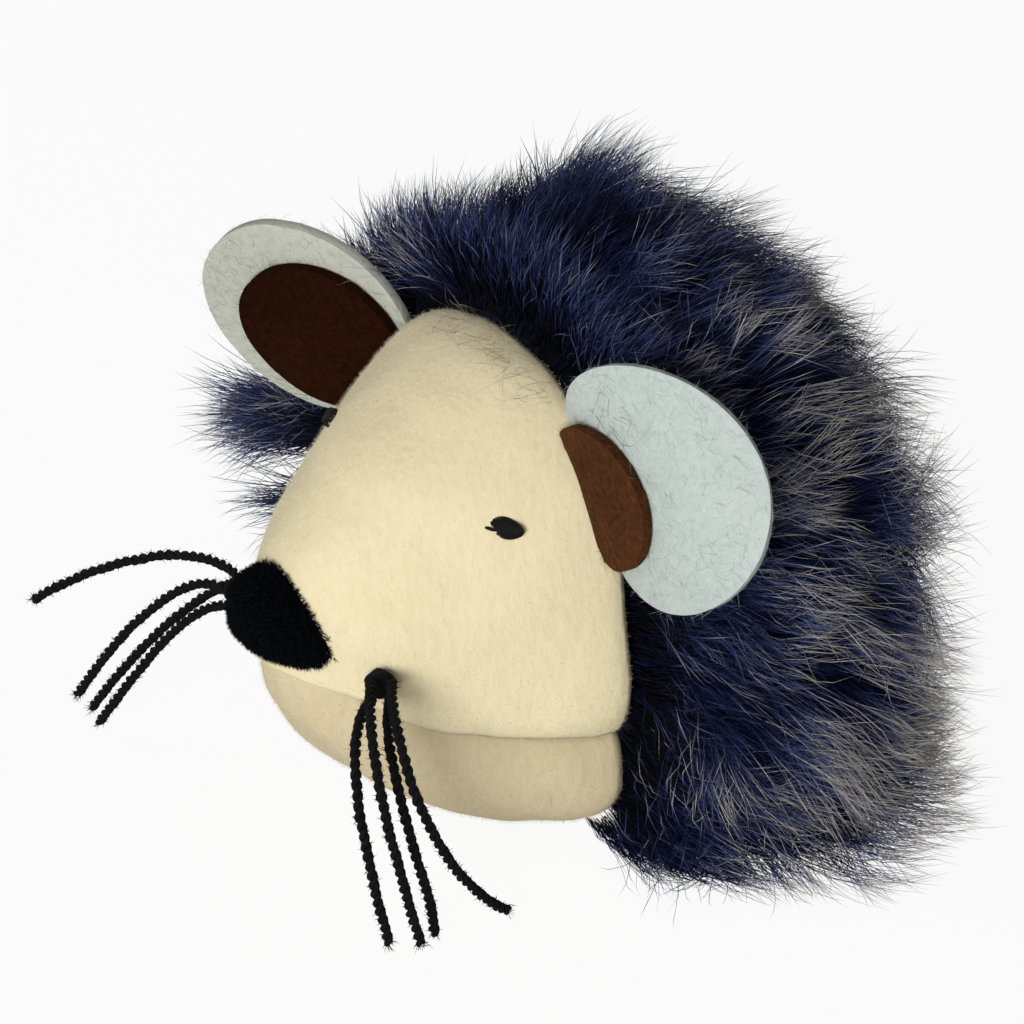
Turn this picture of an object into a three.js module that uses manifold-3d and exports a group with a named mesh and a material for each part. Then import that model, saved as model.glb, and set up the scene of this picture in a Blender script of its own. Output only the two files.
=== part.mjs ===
// Vibrating toy mouse: a stuffed plush mouse built around a pull-cord clockwork with an eccentric weight.
// Millimetres, +Z up. The nose points to -Y and the mouse's left side is +X.
// The origin is on the floor, on the underside of the belly panel.
import * as THREE from 'three';
import { mergeVertices } from 'three/addons/utils/BufferGeometryUtils.js';
import Module from 'manifold-3d';

const wasm = await Module();
wasm.setup();

// Cloth and clearances
const SEAM_GAP = 0.3;
const FACE_PLUSH = 2;
const FELT = 1.2;
const FUR_PILE = 9;
const BELLY_CLOTH = 1.5;
const HEM_ABOVE_FLOOR = 0.5;

// Head: distances run forward from the neck seam
const NECK_Y = -8;
const HEAD_LENGTH = 31;
const HEAD_HALF_WIDTH = 24.5;
const HEAD_LEVEL = 28.5;
const MUZZLE_SINK = 1;
const CROWN_RISE = 28.5;
const CHIN_DROP = 27.5;
const CHEEK_TAPER = { power: 1.25, ease: 0.66 };
const CROWN_TAPER = { power: 1.35, ease: 0.64 };
const CHIN_TAPER = { power: 2, ease: 0.62 };
const CROWN_ROUNDNESS = 2.2;
const CHIN_ROUNDNESS = { neck: 4.4, muzzle: 2.4 };
const JAW_SEAM_LEVEL = 15.5;
const JAW_SEAM_RISE = 8.5;

// Body: distances run backward from the neck seam
const BODY_HALF_WIDTH = 40.5;
const BODY_TOP = 68;
const BODY_LEVEL = 18;
const BODY_UNDER = 26;
const BODY_ROUNDNESS = 2.2;
const FLANK_ROUNDNESS = 3.5;
const WIDEST_BEHIND_NECK = 20;
const WIDTH_REACH_FRONT = 30;
const WIDTH_REACH_BACK = 26;
const HIGHEST_BEHIND_NECK = 14;
const HEIGHT_REACH_FRONT = 34;
const HEIGHT_REACH_BACK = 32;
const NECK_TUCK = 5;

// Fur: its tips lie down below the body's outline, its hem spreads on the floor,
// and a tuft stands out beside the head below the right ear
const FUR_SETTLE = 2.2;
const HEM_SPREAD = { reach: 6, height: 16 };
const TUFT = { outside: 11, ahead: 1, up: 0.5, halfLength: 10.5, halfWidth: 4.4, halfHeight: 6.5, turn: 27 };

// Nose, eyes and whisker knots: back from the muzzle's tip, up from the level of the head's widest line
const NOSE = { back: 3.1, up: 0.5, halfWidth: 7.2, halfLength: 5.4, halfHeight: 5.8 };
const EYE = { back: 19.5, up: 12.3, outside: 0, halfLength: 2.1, halfHeight: 1.35, stand: 0.9 };
const KNOT = { back: 7.4, up: -3.9, outside: 1.3, radius: 1.6 };
const WHISKER_DIAMETER = 1.4;

// Ears: discs cut by the chord that is sewn into the neck seam; the chord's ends lie near the head's outline
const EAR_ROOT_TOP = { up: 21.5, outside: -1.8 };
const EAR_ROOT_BOTTOM = { up: 7.5, outside: 1.1 };
const EAR_RADIUS = 13.5;
const EAR_PATCH_RADIUS = 9.6;
const EAR_PATCH_ROOT = 13.6;
const EAR_LEFT = { lift: 25, rootTurn: -20, tipTurn: 40, patchRadius: 8 };
const EAR_RIGHT = { lift: 31, rootTurn: -24, tipTurn: -20, patchRadius: EAR_PATCH_RADIUS };
const EAR_CLEARING = 14;

// Works: a gear train on three upright pins in a two-shell case
const GEAR_MODULE = 0.6;
const PRESSURE_ANGLE = 20;
const BACKLASH = 0.22;
const ADDENDUM = 0.8;
const DEDENDUM = 1.15;
const DRUM_TEETH = 30;
const IDLER_PINION_TEETH = 10;
const IDLER_TEETH = 24;
const ROTOR_TEETH = 10;
const DRUM_TO_ROTOR = 16.5;
const DRUM_Y = 11.3;
const GEAR_THICKNESS = 2.2;
const LEVEL_GAP = 0.5;
const RUNNING_GAP = 0.7;
const SEAT_GAP = 0.3;
const PIN_RADIUS = 1;
const PIN_FIT = 0.1;
const PIN_SEAT = 1.1;
const CORD_RADIUS = 7;
const DRUM_FLANGE_RADIUS = 8.6;
const DRUM_FLANGE = 0.8;
const CORD_GROOVE = 4.4;
const SPRING_CUP_RADIUS = 6.2;
const SPRING_CUP_FLOOR = 1.2;
const ARBOR_RADIUS = 2.2;
const SPRING_STRIP = 0.3;
const SPRING_TURNS = 4;
const WEIGHT_RADIUS = 5.5;
const WEIGHT_HUB = 3.1;
const ROTOR_SLEEVE_RADIUS = 1.9;
const PIN_BOSS_RADIUS = 2.2;
const CASE_WALL = 1.5;
const CASE_BASE_HEIGHT = 8.5;
const SCREW_RADIUS = 0.9;
const SCREW_LENGTH = 9;
const SCREW_HEAD_RADIUS = 1.8;
const SCREW_HEAD = 1.2;
const SCREW_SLOT = 0.5;
const SCREW_POST_RADIUS = 2.5;
const CORD_HOLE_RADIUS = 1.2;
const EYELET_RADIUS = 2;
const EYELET_FLANGE_RADIUS = 3.2;
const EYELET_FLANGE = 0.8;
const EYELET_LENGTH = 3;

// Fineness of the faceted shapes
const RING_SIDES = 32;
const HEAD_RINGS = 11;
const BODY_RINGS = 13;
const ROUND_SIDES = 24;
const DRUM_SIDES = 36;
const BALL_SIDES = 16;
const EAR_ROWS = 9;
const EAR_COLUMNS = 6;
const TUBE_SIDES = 8;
const TUBE_STEPS = 10;
const SPRING_STEPS_PER_TURN = 20;
const ARC_STEPS = 8;
const END_SHARE = 0.995;
const EAR_TIP_SHARE = 0.98;
const CUT_PAST = 1;
const BEYOND = 200;

// Colours
const NAVY_FUR = 0x2a3050;
const CREAM_PLUSH = 0xe6d8b8;
const BEIGE_PLUSH = 0xd2bf9e;
const PALE_FELT = 0xc9d2cf;
const BROWN_FELT = 0x55301c;
const BLACK_PLUSH = 0x1c2024;
const BLACK_CORD = 0x101012;
const WHITE_FILLING = 0xe8e6e0;
const BELLY_GREY = 0x3a3d4c;
const CASE_PLASTIC = 0xd8d4c8;
const GEAR_PLASTIC = 0xe9e6da;
const STEEL = 0x9a9ea3;
const BRASS = 0xb4924f;

// Whisker routes from the root to the tip, measured from the middle of their knot
const WHISKER_ROUTES = {
  left_1: [
    [0.9, -1.8, -0.9], [2.6, -3.9, -0.7], [4.1, -5.6, -1], [5.5, -7, -1.7],
    [6.7, -8, -2.9], [7.7, -8.7, -4.4], [8.7, -9.2, -6.2], [9.4, -9.5, -8.2],
    [10.1, -9.5, -10.3], [10.6, -9.4, -12.6], [11, -9.2, -14.9], [11.2, -8.9, -17.2],
    [11.4, -8.5, -19.4], [11.5, -8, -21.5], [11.4, -7.6, -23.4],
  ],
  left_2: [
    [1.1, -1.9, 1.1], [3.3, -3.6, 1.3], [5.4, -5.1, 1], [7.4, -6.4, 0.2],
    [9.1, -7.4, -1], [10.6, -8.1, -2.5], [11.7, -8.5, -4.4], [12.6, -8.6, -6.6],
    [13.2, -8.5, -8.9], [13.6, -8.1, -11.3], [13.8, -7.6, -13.8], [13.8, -7, -16.3],
    [13.8, -6.4, -18.8], [13.7, -5.7, -21.1], [13.7, -5.1, -23.3],
  ],
  left_3: [
    [2, -0.2, -1], [4.1, -1.9, -1], [6, -3.3, -1.5], [7.7, -4.4, -2.4],
    [9.3, -5.1, -3.7], [10.5, -5.5, -5.4], [11.4, -5.6, -7.3], [12.1, -5.5, -9.4],
    [12.5, -5.2, -11.5], [12.8, -4.8, -13.6], [13, -4.3, -15.8], [13, -3.7, -17.9],
    [12.9, -3.2, -19.9], [12.7, -2.8, -21.8], [12.4, -2.4, -23.7],
  ],
  left_4: [
    [2.1, 0, 1.2], [4.7, -1.8, 1], [7, -3.2, 0.3], [9, -4.1, -0.9],
    [10.7, -4.7, -2.5], [12, -4.9, -4.5], [13.1, -4.7, -6.7], [13.9, -4.1, -9],
    [14.4, -3.2, -11.4], [14.7, -2.1, -13.7], [14.7, -0.7, -16], [14.6, 1, -18.2],
    [14.4, 2.7, -20.2], [14.1, 4.5, -22], [13.7, 6.4, -23.5],
  ],
  right_1: [
    [-1, -0.8, 2.3], [-3.2, -0.5, 2.6], [-5.3, -0.7, 2.7], [-7.4, -1.1, 2.6],
    [-9.3, -1.8, 2.4], [-11.2, -2.7, 2.1], [-13.1, -3.7, 1.6], [-14.8, -4.9, 0.9],
    [-16.6, -6.2, 0.2], [-18.2, -7.5, -0.7], [-19.9, -8.8, -1.6], [-21.4, -10, -2.7],
    [-23, -11, -3.8], [-24.5, -12, -5], [-26, -12.7, -6.3],
  ],
  right_2: [
    [-1.2, -1.7, 0.3], [-3.5, -1.6, 0.7], [-5.5, -1.9, 0.5], [-7.4, -2.5, -0.1],
    [-9.1, -3.3, -1.1], [-10.7, -4.2, -2.4], [-12.1, -5.1, -3.9], [-13.5, -6.1, -5.5],
    [-14.9, -6.9, -7.2], [-16.2, -7.6, -9], [-17.4, -8.3, -10.8], [-18.7, -8.8, -12.6],
    [-19.9, -9.3, -14.4], [-21.2, -9.6, -16.2], [-22.4, -9.9, -17.9],
  ],
  right_3: [
    [-2.3, 0.3, 0.4], [-4.6, 1.3, -0.2], [-6.7, 1.7, -1], [-8.7, 1.7, -2.2],
    [-10.5, 1.3, -3.5], [-12.2, 0.6, -5], [-13.8, -0.3, -6.6], [-15.3, -1.3, -8.3],
    [-16.7, -2.3, -10.1], [-18.1, -3.3, -12], [-19.4, -4.2, -13.9], [-20.7, -5, -15.8],
    [-22, -5.8, -17.8], [-23.3, -6.4, -19.7], [-24.6, -6.8, -21.6],
  ],
  right_4: [
    [-1.7, -0.5, -1.6], [-3.9, -0.6, -2], [-5.9, -0.8, -2.7], [-7.7, -1.2, -3.7],
    [-9.4, -1.7, -5], [-10.9, -2.3, -6.4], [-12.3, -2.9, -8], [-13.7, -3.6, -9.7],
    [-14.9, -4.3, -11.5], [-16.1, -5, -13.4], [-17.3, -5.7, -15.2], [-18.5, -6.3, -17.1],
    [-19.7, -6.8, -18.9], [-20.9, -7.2, -20.6], [-22.2, -7.4, -22.3],
  ],
};

const mouse = new THREE.Group();
mouse.name = 'vibrating_toy_mouse';

// Solids: closed geometry in, joined or cut shape out

function solidOf(geometry) {
  const bare = geometry.index ? geometry.toNonIndexed() : geometry.clone();
  bare.deleteAttribute('normal');
  bare.deleteAttribute('uv');
  const merged = mergeVertices(bare);
  return new wasm.Manifold(new wasm.Mesh({
    numProp: 3,
    vertProperties: new Float32Array(merged.attributes.position.array),
    triVerts: new Uint32Array(merged.index.array),
  }));
}

function geometryOf(solid) {
  const mesh = solid.getMesh();
  const geometry = new THREE.BufferGeometry();
  geometry.setAttribute('position', new THREE.BufferAttribute(mesh.vertProperties, mesh.numProp));
  geometry.setIndex(new THREE.BufferAttribute(mesh.triVerts, 1));
  geometry.computeVertexNormals();
  return geometry;
}

function addPiece(name, shape, color, roughness = 0.9, metalness = 0) {
  const geometry = shape.isBufferGeometry ? shape : geometryOf(shape);
  const mesh = new THREE.Mesh(geometry, new THREE.MeshStandardMaterial({ color, roughness, metalness }));
  mesh.name = name;
  mouse.add(mesh);
}

function block(low, high) {
  const size = high.clone().sub(low);
  const middle = high.clone().add(low).multiplyScalar(0.5);
  return solidOf(new THREE.BoxGeometry(size.x, size.y, size.z).translate(middle.x, middle.y, middle.z));
}

function belowLevel(z) {
  return block(new THREE.Vector3(-BEYOND, -BEYOND, -BEYOND), new THREE.Vector3(BEYOND, BEYOND, z));
}

function aheadOf(y) {
  return block(new THREE.Vector3(-BEYOND, -BEYOND, -BEYOND), new THREE.Vector3(BEYOND, y, BEYOND));
}

function post(centre, radius, bottom, top, sides = ROUND_SIDES) {
  const height = top - bottom;
  const upright = new THREE.CylinderGeometry(radius, radius, height, sides).rotateX(Math.PI / 2);
  return solidOf(upright.translate(centre.x, centre.y, bottom + height / 2));
}

function rodAlongY(x, z, radius, start, end) {
  const length = end - start;
  const rod = new THREE.CylinderGeometry(radius, radius, length, ROUND_SIDES);
  return solidOf(rod.translate(x, start + length / 2, z));
}

// An outline in plan, raised from bottom to top
function slab(outline, bottom, top) {
  const raise = { depth: top - bottom, bevelEnabled: false, curveSegments: ARC_STEPS };
  return solidOf(new THREE.ExtrudeGeometry(outline, raise).translate(0, 0, bottom));
}

// A closed skin through rings that all have the same number of points, with a fan over each end
function loft(rings) {
  const sides = rings[0].length;
  const centres = [rings[0], rings[rings.length - 1]].map((ring) => {
    const centre = new THREE.Vector3();
    ring.forEach((point) => centre.addScaledVector(point, 1 / sides));
    return centre;
  });
  const points = [...rings.flat(), ...centres];
  const startCentre = points.length - 2;
  const endCentre = points.length - 1;
  const lastRing = (rings.length - 1) * sides;
  const faces = [];
  for (let side = 0; side < sides; side += 1) {
    const next = (side + 1) % sides;
    faces.push(startCentre, side, next);
    faces.push(endCentre, lastRing + next, lastRing + side);
    for (let row = 0; row < lastRing; row += sides) {
      faces.push(row + side, row + sides + side, row + next);
      faces.push(row + next, row + sides + side, row + sides + next);
    }
  }
  const geometry = new THREE.BufferGeometry().setFromPoints(points);
  geometry.setIndex(faces);
  return solidOf(geometry);
}

// Stuffed forms

function swell(share, power, ease) {
  return (1 - Math.abs(share) ** power) ** ease;
}

// A squarish oval in the plane across the mouse, rounder above its widest level than below it
function ovalRing(y, halfWidth, level, rise, drop, upperRoundness, lowerRoundness) {
  const ring = [];
  for (let side = 0; side < RING_SIDES; side += 1) {
    const angle = (side / RING_SIDES) * 2 * Math.PI;
    const across = Math.cos(angle);
    const along = Math.sin(angle);
    const upper = along >= 0;
    const bend = 2 / (upper ? upperRoundness : lowerRoundness);
    const x = halfWidth * Math.sign(across) * Math.abs(across) ** bend;
    const z = level + (upper ? rise : drop) * Math.sign(along) * Math.abs(along) ** bend;
    ring.push(new THREE.Vector3(x, y, z));
  }
  return ring;
}

function chinRoundness(share) {
  return THREE.MathUtils.lerp(CHIN_ROUNDNESS.neck, CHIN_ROUNDNESS.muzzle, share);
}

// The head without its outermost layer of the given depth; a negative depth makes it larger
function headForm(depth) {
  const length = HEAD_LENGTH - depth;
  const rings = [];
  for (let row = HEAD_RINGS; row >= 0; row -= 1) {
    const share = END_SHARE * Math.sin((row / HEAD_RINGS) * (Math.PI / 2));
    const width = (HEAD_HALF_WIDTH - depth) * swell(share, CHEEK_TAPER.power, CHEEK_TAPER.ease);
    const rise = (CROWN_RISE - depth) * swell(share, CROWN_TAPER.power, CROWN_TAPER.ease);
    const drop = (CHIN_DROP - depth) * swell(share, CHIN_TAPER.power, CHIN_TAPER.ease);
    const level = HEAD_LEVEL - MUZZLE_SINK * share;
    const y = NECK_Y - length * share;
    rings.push(ovalRing(y, width, level, rise, drop, CROWN_ROUNDNESS, chinRoundness(share)));
  }
  const neckRing = rings[rings.length - 1];
  rings.push(neckRing.map((point) => point.clone().setY(NECK_Y + NECK_TUCK)));
  return loft(rings);
}

function bodyShare(behind, peak, reachFront, reachBack) {
  const share = behind < peak ? (peak - behind) / reachFront : (behind - peak) / reachBack;
  return swell(Math.min(share, 1), BODY_ROUNDNESS, 1 / BODY_ROUNDNESS);
}

// The body without its outermost layer of the given depth, drawn in further at the neck by tuck
function bodyForm(depth, tuck) {
  const backEnd = WIDEST_BEHIND_NECK + WIDTH_REACH_BACK - depth;
  const rings = [];
  for (let row = 0; row <= BODY_RINGS; row += 1) {
    const along = Math.sin((row / BODY_RINGS) * (Math.PI / 2));
    const behind = END_SHARE * backEnd * along - (NECK_TUCK / 2) * (1 - along);
    const widthShare = bodyShare(
      behind, WIDEST_BEHIND_NECK, WIDTH_REACH_FRONT - tuck, WIDTH_REACH_BACK - depth);
    const heightShare = bodyShare(
      behind, HIGHEST_BEHIND_NECK, HEIGHT_REACH_FRONT - tuck, HEIGHT_REACH_BACK - depth);
    const rise = (BODY_TOP - BODY_LEVEL - depth) * heightShare;
    rings.push(ovalRing(
      NECK_Y + behind, (BODY_HALF_WIDTH - depth) * widthShare, BODY_LEVEL, rise, BODY_UNDER,
      BODY_ROUNDNESS, FLANK_ROUNDNESS));
  }
  return loft(rings);
}

// The half space above the jaw seam, moved up by offset; the seam rises from the neck to the nose
function aboveJawSeam(offset) {
  const slope = Math.atan2(JAW_SEAM_RISE, HEAD_LENGTH);
  const half = new THREE.BoxGeometry(BEYOND, BEYOND, BEYOND).translate(0, 0, BEYOND / 2).rotateX(-slope);
  return solidOf(half.translate(0, NECK_Y, JAW_SEAM_LEVEL + offset));
}

// Half the head's width at a distance forward of the neck and a height above the widest line at the neck
function headSideAt(forward, up) {
  const share = forward / HEAD_LENGTH;
  const rise = up + MUZZLE_SINK * share;
  const upper = rise >= 0;
  const taper = upper ? CROWN_TAPER : CHIN_TAPER;
  const reach = (upper ? CROWN_RISE : CHIN_DROP) * swell(share, taper.power, taper.ease);
  const roundness = upper ? CROWN_ROUNDNESS : chinRoundness(share);
  const halfWidth = HEAD_HALF_WIDTH * swell(share, CHEEK_TAPER.power, CHEEK_TAPER.ease);
  return halfWidth * swell(rise / reach, roundness, 1 / roundness);
}

// A point beside the head's surface, back from the muzzle's tip and up from the widest line
function placeOnHead(sign, place) {
  const forward = HEAD_LENGTH - place.back;
  const side = headSideAt(forward, place.up) + place.outside;
  return new THREE.Vector3(sign * side, NECK_Y - forward, HEAD_LEVEL + place.up);
}

const headSkin = headForm(0);
const headSpace = aheadOf(NECK_Y - SEAM_GAP / 2);
const aheadOfBody = aheadOf(NECK_Y + SEAM_GAP / 2);

function headPanels() {
  const shell = headSkin.subtract(headForm(FACE_PLUSH)).intersect(headSpace);
  addPiece('face_panel', shell.intersect(aboveJawSeam(SEAM_GAP / 2)), CREAM_PLUSH);
  addPiece('chin_panel', shell.subtract(aboveJawSeam(-SEAM_GAP / 2)), BEIGE_PLUSH);
  addPiece('head_stuffing', headForm(FACE_PLUSH + SEAM_GAP).intersect(headSpace), WHITE_FILLING);
}

// A ball squashed to three half sizes and turned about the upright, with what lies inside the head cut off
function budOnHead(halfSize, centre, turn = 0) {
  const ball = new THREE.SphereGeometry(1, BALL_SIDES, BALL_SIDES / 2);
  ball.scale(halfSize.x, halfSize.y, halfSize.z).rotateZ(THREE.MathUtils.degToRad(turn));
  ball.translate(centre.x, centre.y, centre.z);
  return solidOf(ball).subtract(headForm(-SEAM_GAP));
}

function noseEyesAndKnots() {
  const noseSize = new THREE.Vector3(NOSE.halfWidth, NOSE.halfLength, NOSE.halfHeight);
  const nosePlace = new THREE.Vector3(0, NECK_Y - HEAD_LENGTH + NOSE.back, HEAD_LEVEL + NOSE.up);
  addPiece('nose', budOnHead(noseSize, nosePlace), BLACK_PLUSH);
  const eyeSize = new THREE.Vector3(EYE.stand + SEAM_GAP, EYE.halfLength, EYE.halfHeight);
  const knotSize = new THREE.Vector3(KNOT.radius, KNOT.radius, KNOT.radius);
  for (const [side, sign] of [['left', 1], ['right', -1]]) {
    const eye = budOnHead(eyeSize, placeOnHead(sign, EYE));
    addPiece(`eye_${side}`, eye, BLACK_CORD, 0.6);
    const knot = budOnHead(knotSize, placeOnHead(sign, KNOT));
    addPiece(`whisker_knot_${side}`, knot, BLACK_CORD);
  }
}

function whiskers() {
  const section = new THREE.Shape();
  for (let side = 0; side < TUBE_SIDES; side += 1) {
    const angle = (side / TUBE_SIDES) * 2 * Math.PI;
    const x = (WHISKER_DIAMETER / 2) * Math.cos(angle);
    const y = (WHISKER_DIAMETER / 2) * Math.sin(angle);
    if (side === 0) section.moveTo(x, y);
    else section.lineTo(x, y);
  }
  section.closePath();
  for (const [name, route] of Object.entries(WHISKER_ROUTES)) {
    const knot = placeOnHead(name.startsWith('left') ? 1 : -1, KNOT);
    const path = new THREE.CatmullRomCurve3(route.map((point) => new THREE.Vector3(...point).add(knot)));
    const sweep = { steps: TUBE_STEPS, extrudePath: path, bevelEnabled: false };
    const tube = new THREE.ExtrudeGeometry(section, sweep);
    addPiece(`whisker_${name}`, solidOf(tube), BLACK_CORD);
  }
}

// Ears

function earRootEnd(sign, end) {
  return new THREE.Vector3(sign * (headSideAt(0, end.up) + end.outside), 0, HEAD_LEVEL + end.up);
}

// A felt disc cut by its root chord, bent about the root as it runs outward.
// front and back are how far its two faces stand in front of the ear's own middle surface.
function earSheet(sign, bend, radius, rootChord, front, back) {
  const top = earRootEnd(sign, EAR_ROOT_TOP);
  const bottom = earRootEnd(sign, EAR_ROOT_BOTTOM);
  const along = top.clone().sub(bottom).normalize();
  const middle = top.clone().add(bottom).multiplyScalar(0.5);
  const lift = THREE.MathUtils.degToRad(bend.lift);
  const outward = new THREE.Vector3(sign * Math.cos(lift), 0, Math.sin(lift));
  const backward = new THREE.Vector3(0, 1, 0);
  const centre = Math.sqrt(radius ** 2 - (rootChord / 2) ** 2);
  const reach = centre + radius;
  const earReach = EAR_RADIUS + Math.sqrt(EAR_RADIUS ** 2 - top.distanceToSquared(bottom) / 4);
  const rootTurn = THREE.MathUtils.degToRad(bend.rootTurn);
  const turnPerLength = (THREE.MathUtils.degToRad(bend.tipTurn) - rootTurn) / earReach;
  const rings = [];
  for (let row = 0; row <= EAR_ROWS; row += 1) {
    const distance = reach * Math.sin((row / EAR_ROWS) * (Math.PI / 2) * EAR_TIP_SHARE);
    const turn = rootTurn + turnPerLength * distance;
    const out = (Math.sin(turn) - Math.sin(rootTurn)) / turnPerLength;
    const behind = (Math.cos(rootTurn) - Math.cos(turn)) / turnPerLength;
    const halfChord = Math.sqrt(radius ** 2 - (distance - centre) ** 2);
    const facing = outward.clone().multiplyScalar(Math.sin(turn));
    facing.addScaledVector(backward, -Math.cos(turn));
    const spine = middle.clone().addScaledVector(outward, out).addScaledVector(backward, NECK_Y + behind);
    const faceRow = (stand, direction) => {
      const line = [];
      for (let column = 0; column <= EAR_COLUMNS; column += 1) {
        const share = direction * (2 * (column / EAR_COLUMNS) - 1);
        line.push(spine.clone().addScaledVector(along, share * halfChord).addScaledVector(facing, stand));
      }
      return line;
    };
    rings.push([...faceRow(front, sign), ...faceRow(back, -sign)]);
  }
  return loft(rings);
}

function ears() {
  const keepClear = [];
  for (const [side, sign, bend] of [['left', 1, EAR_LEFT], ['right', -1, EAR_RIGHT]]) {
    const rootChord = earRootEnd(sign, EAR_ROOT_TOP).distanceTo(earRootEnd(sign, EAR_ROOT_BOTTOM));
    const back = SEAM_GAP / 2;
    const outer = earSheet(sign, bend, EAR_RADIUS, rootChord, back + FELT, back);
    const patchBack = back + FELT + SEAM_GAP;
    const patch = earSheet(sign, bend, bend.patchRadius, EAR_PATCH_ROOT, patchBack + FELT, patchBack);
    const headRoom = headForm(-SEAM_GAP);
    addPiece(`ear_outer_${side}`, outer.subtract(headRoom), PALE_FELT);
    addPiece(`ear_inner_${side}`, patch.subtract(headRoom), BROWN_FELT);
    const clearRadius = EAR_RADIUS + SEAM_GAP;
    keepClear.push(earSheet(sign, bend, clearRadius, rootChord, EAR_CLEARING, back - SEAM_GAP));
  }
  return keepClear;
}

// Works

const drumPitchRadius = (GEAR_MODULE * DRUM_TEETH) / 2;
const idlerPinionPitchRadius = (GEAR_MODULE * IDLER_PINION_TEETH) / 2;
const idlerPitchRadius = (GEAR_MODULE * IDLER_TEETH) / 2;
const rotorPitchRadius = (GEAR_MODULE * ROTOR_TEETH) / 2;
const toothTip = GEAR_MODULE * ADDENDUM;
const drumToIdler = drumPitchRadius + idlerPinionPitchRadius;
const idlerToRotor = idlerPitchRadius + rotorPitchRadius;

// The drum stands to one side, so that the cord leaves it along the middle of the mouse
const drumCentre = new THREE.Vector2(-CORD_RADIUS, DRUM_Y);
const rotorCentre = new THREE.Vector2(drumCentre.x + DRUM_TO_ROTOR, DRUM_Y);
const idlerAlong = (drumToIdler ** 2 - idlerToRotor ** 2 + DRUM_TO_ROTOR ** 2) / (2 * DRUM_TO_ROTOR);
const idlerAside = Math.sqrt(drumToIdler ** 2 - idlerAlong ** 2);
const idlerCentre = new THREE.Vector2(drumCentre.x + idlerAlong, DRUM_Y - idlerAside);

// Levels, from the case's underside up
const caseBottom = BELLY_CLOTH + SEAM_GAP;
const caseFloor = caseBottom + CASE_WALL;
const lowGearBottom = caseFloor + RUNNING_GAP;
const lowGearTop = lowGearBottom + GEAR_THICKNESS;
const highGearBottom = lowGearTop + LEVEL_GAP;
const highGearTop = highGearBottom + GEAR_THICKNESS;
const grooveBottom = highGearTop + DRUM_FLANGE;
const grooveTop = grooveBottom + CORD_GROOVE;
const drumTop = grooveTop + DRUM_FLANGE;
const caseCeiling = drumTop + LEVEL_GAP;
const caseTop = caseCeiling + CASE_WALL;
const caseSplit = caseBottom + CASE_BASE_HEIGHT;
const cordLevel = (grooveBottom + grooveTop) / 2;

// The case's inside, as low and high corners in plan
const caseLow = new THREE.Vector2(
  drumCentre.x - drumPitchRadius - toothTip - RUNNING_GAP,
  idlerCentre.y - idlerPitchRadius - toothTip - RUNNING_GAP);
const caseHigh = new THREE.Vector2(
  rotorCentre.x + WEIGHT_RADIUS + RUNNING_GAP,
  drumCentre.y + drumPitchRadius + toothTip + RUNNING_GAP);

function pointAt(radius, angle) {
  return new THREE.Vector2(radius * Math.cos(angle), radius * Math.sin(angle));
}

// Half the angle that a tooth fills at a radius, by the involute through its pitch circle
function toothHalfAngle(teeth, pitchRadius, radius) {
  const involute = (angle) => Math.tan(angle) - angle;
  const pressure = THREE.MathUtils.degToRad(PRESSURE_ANGLE);
  const baseRadius = pitchRadius * Math.cos(pressure);
  const angleThere = Math.acos(Math.min(1, baseRadius / radius));
  return Math.PI / (2 * teeth) - BACKLASH / (2 * pitchRadius) + involute(pressure) - involute(angleThere);
}

// A spur gear with a bore, with one tooth at the angle phase
function gear(teeth, phase, centre, bottom, top, boreRadius) {
  const pitchRadius = (GEAR_MODULE * teeth) / 2;
  const radii = [pitchRadius - GEAR_MODULE * DEDENDUM, pitchRadius, pitchRadius + toothTip];
  const outline = [];
  for (let tooth = 0; tooth < teeth; tooth += 1) {
    const middle = phase + (tooth / teeth) * 2 * Math.PI;
    const flank = radii.map((radius) => [radius, toothHalfAngle(teeth, pitchRadius, radius)]);
    flank.forEach(([radius, half]) => outline.push([radius, middle - half]));
    flank.reverse().forEach(([radius, half]) => outline.push([radius, middle + half]));
  }
  const corners = outline.map(([radius, angle]) => pointAt(radius, angle));
  const wheel = slab(new THREE.Shape(corners), bottom, top).translate(centre.x, centre.y, 0);
  return wheel.subtract(post(centre, boreRadius, bottom - CUT_PAST, top + CUT_PAST));
}

function angleBetween(from, to) {
  return Math.atan2(to.y - from.y, to.x - from.x);
}

const pinBore = PIN_RADIUS + PIN_FIT;
const drumPhase = angleBetween(drumCentre, idlerCentre);
const idlerPinionPhase = drumPhase + Math.PI + Math.PI / IDLER_PINION_TEETH;
const idlerPhase = angleBetween(idlerCentre, rotorCentre);
const rotorPhase = idlerPhase + Math.PI + Math.PI / ROTOR_TEETH;

function drum() {
  const profile = [
    [pinBore, highGearBottom],
    [CORD_RADIUS, highGearBottom],
    [CORD_RADIUS, highGearTop],
    [DRUM_FLANGE_RADIUS, highGearTop],
    [DRUM_FLANGE_RADIUS, grooveBottom],
    [CORD_RADIUS, grooveBottom],
    [CORD_RADIUS, grooveTop],
    [DRUM_FLANGE_RADIUS, grooveTop],
    [DRUM_FLANGE_RADIUS, drumTop],
    [SPRING_CUP_RADIUS, drumTop],
    [SPRING_CUP_RADIUS, highGearTop + SPRING_CUP_FLOOR],
    [pinBore, highGearTop + SPRING_CUP_FLOOR],
  ].map(([radius, height]) => new THREE.Vector2(radius, height));
  const turned = new THREE.LatheGeometry([...profile, profile[0]], DRUM_SIDES).rotateX(Math.PI / 2);
  const spool = solidOf(turned.translate(drumCentre.x, drumCentre.y, 0));
  const teeth = gear(DRUM_TEETH, drumPhase, drumCentre, highGearBottom, highGearTop, pinBore + GEAR_MODULE);
  addPiece('cord_drum', spool.add(teeth), GEAR_PLASTIC, 0.5);
}

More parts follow.
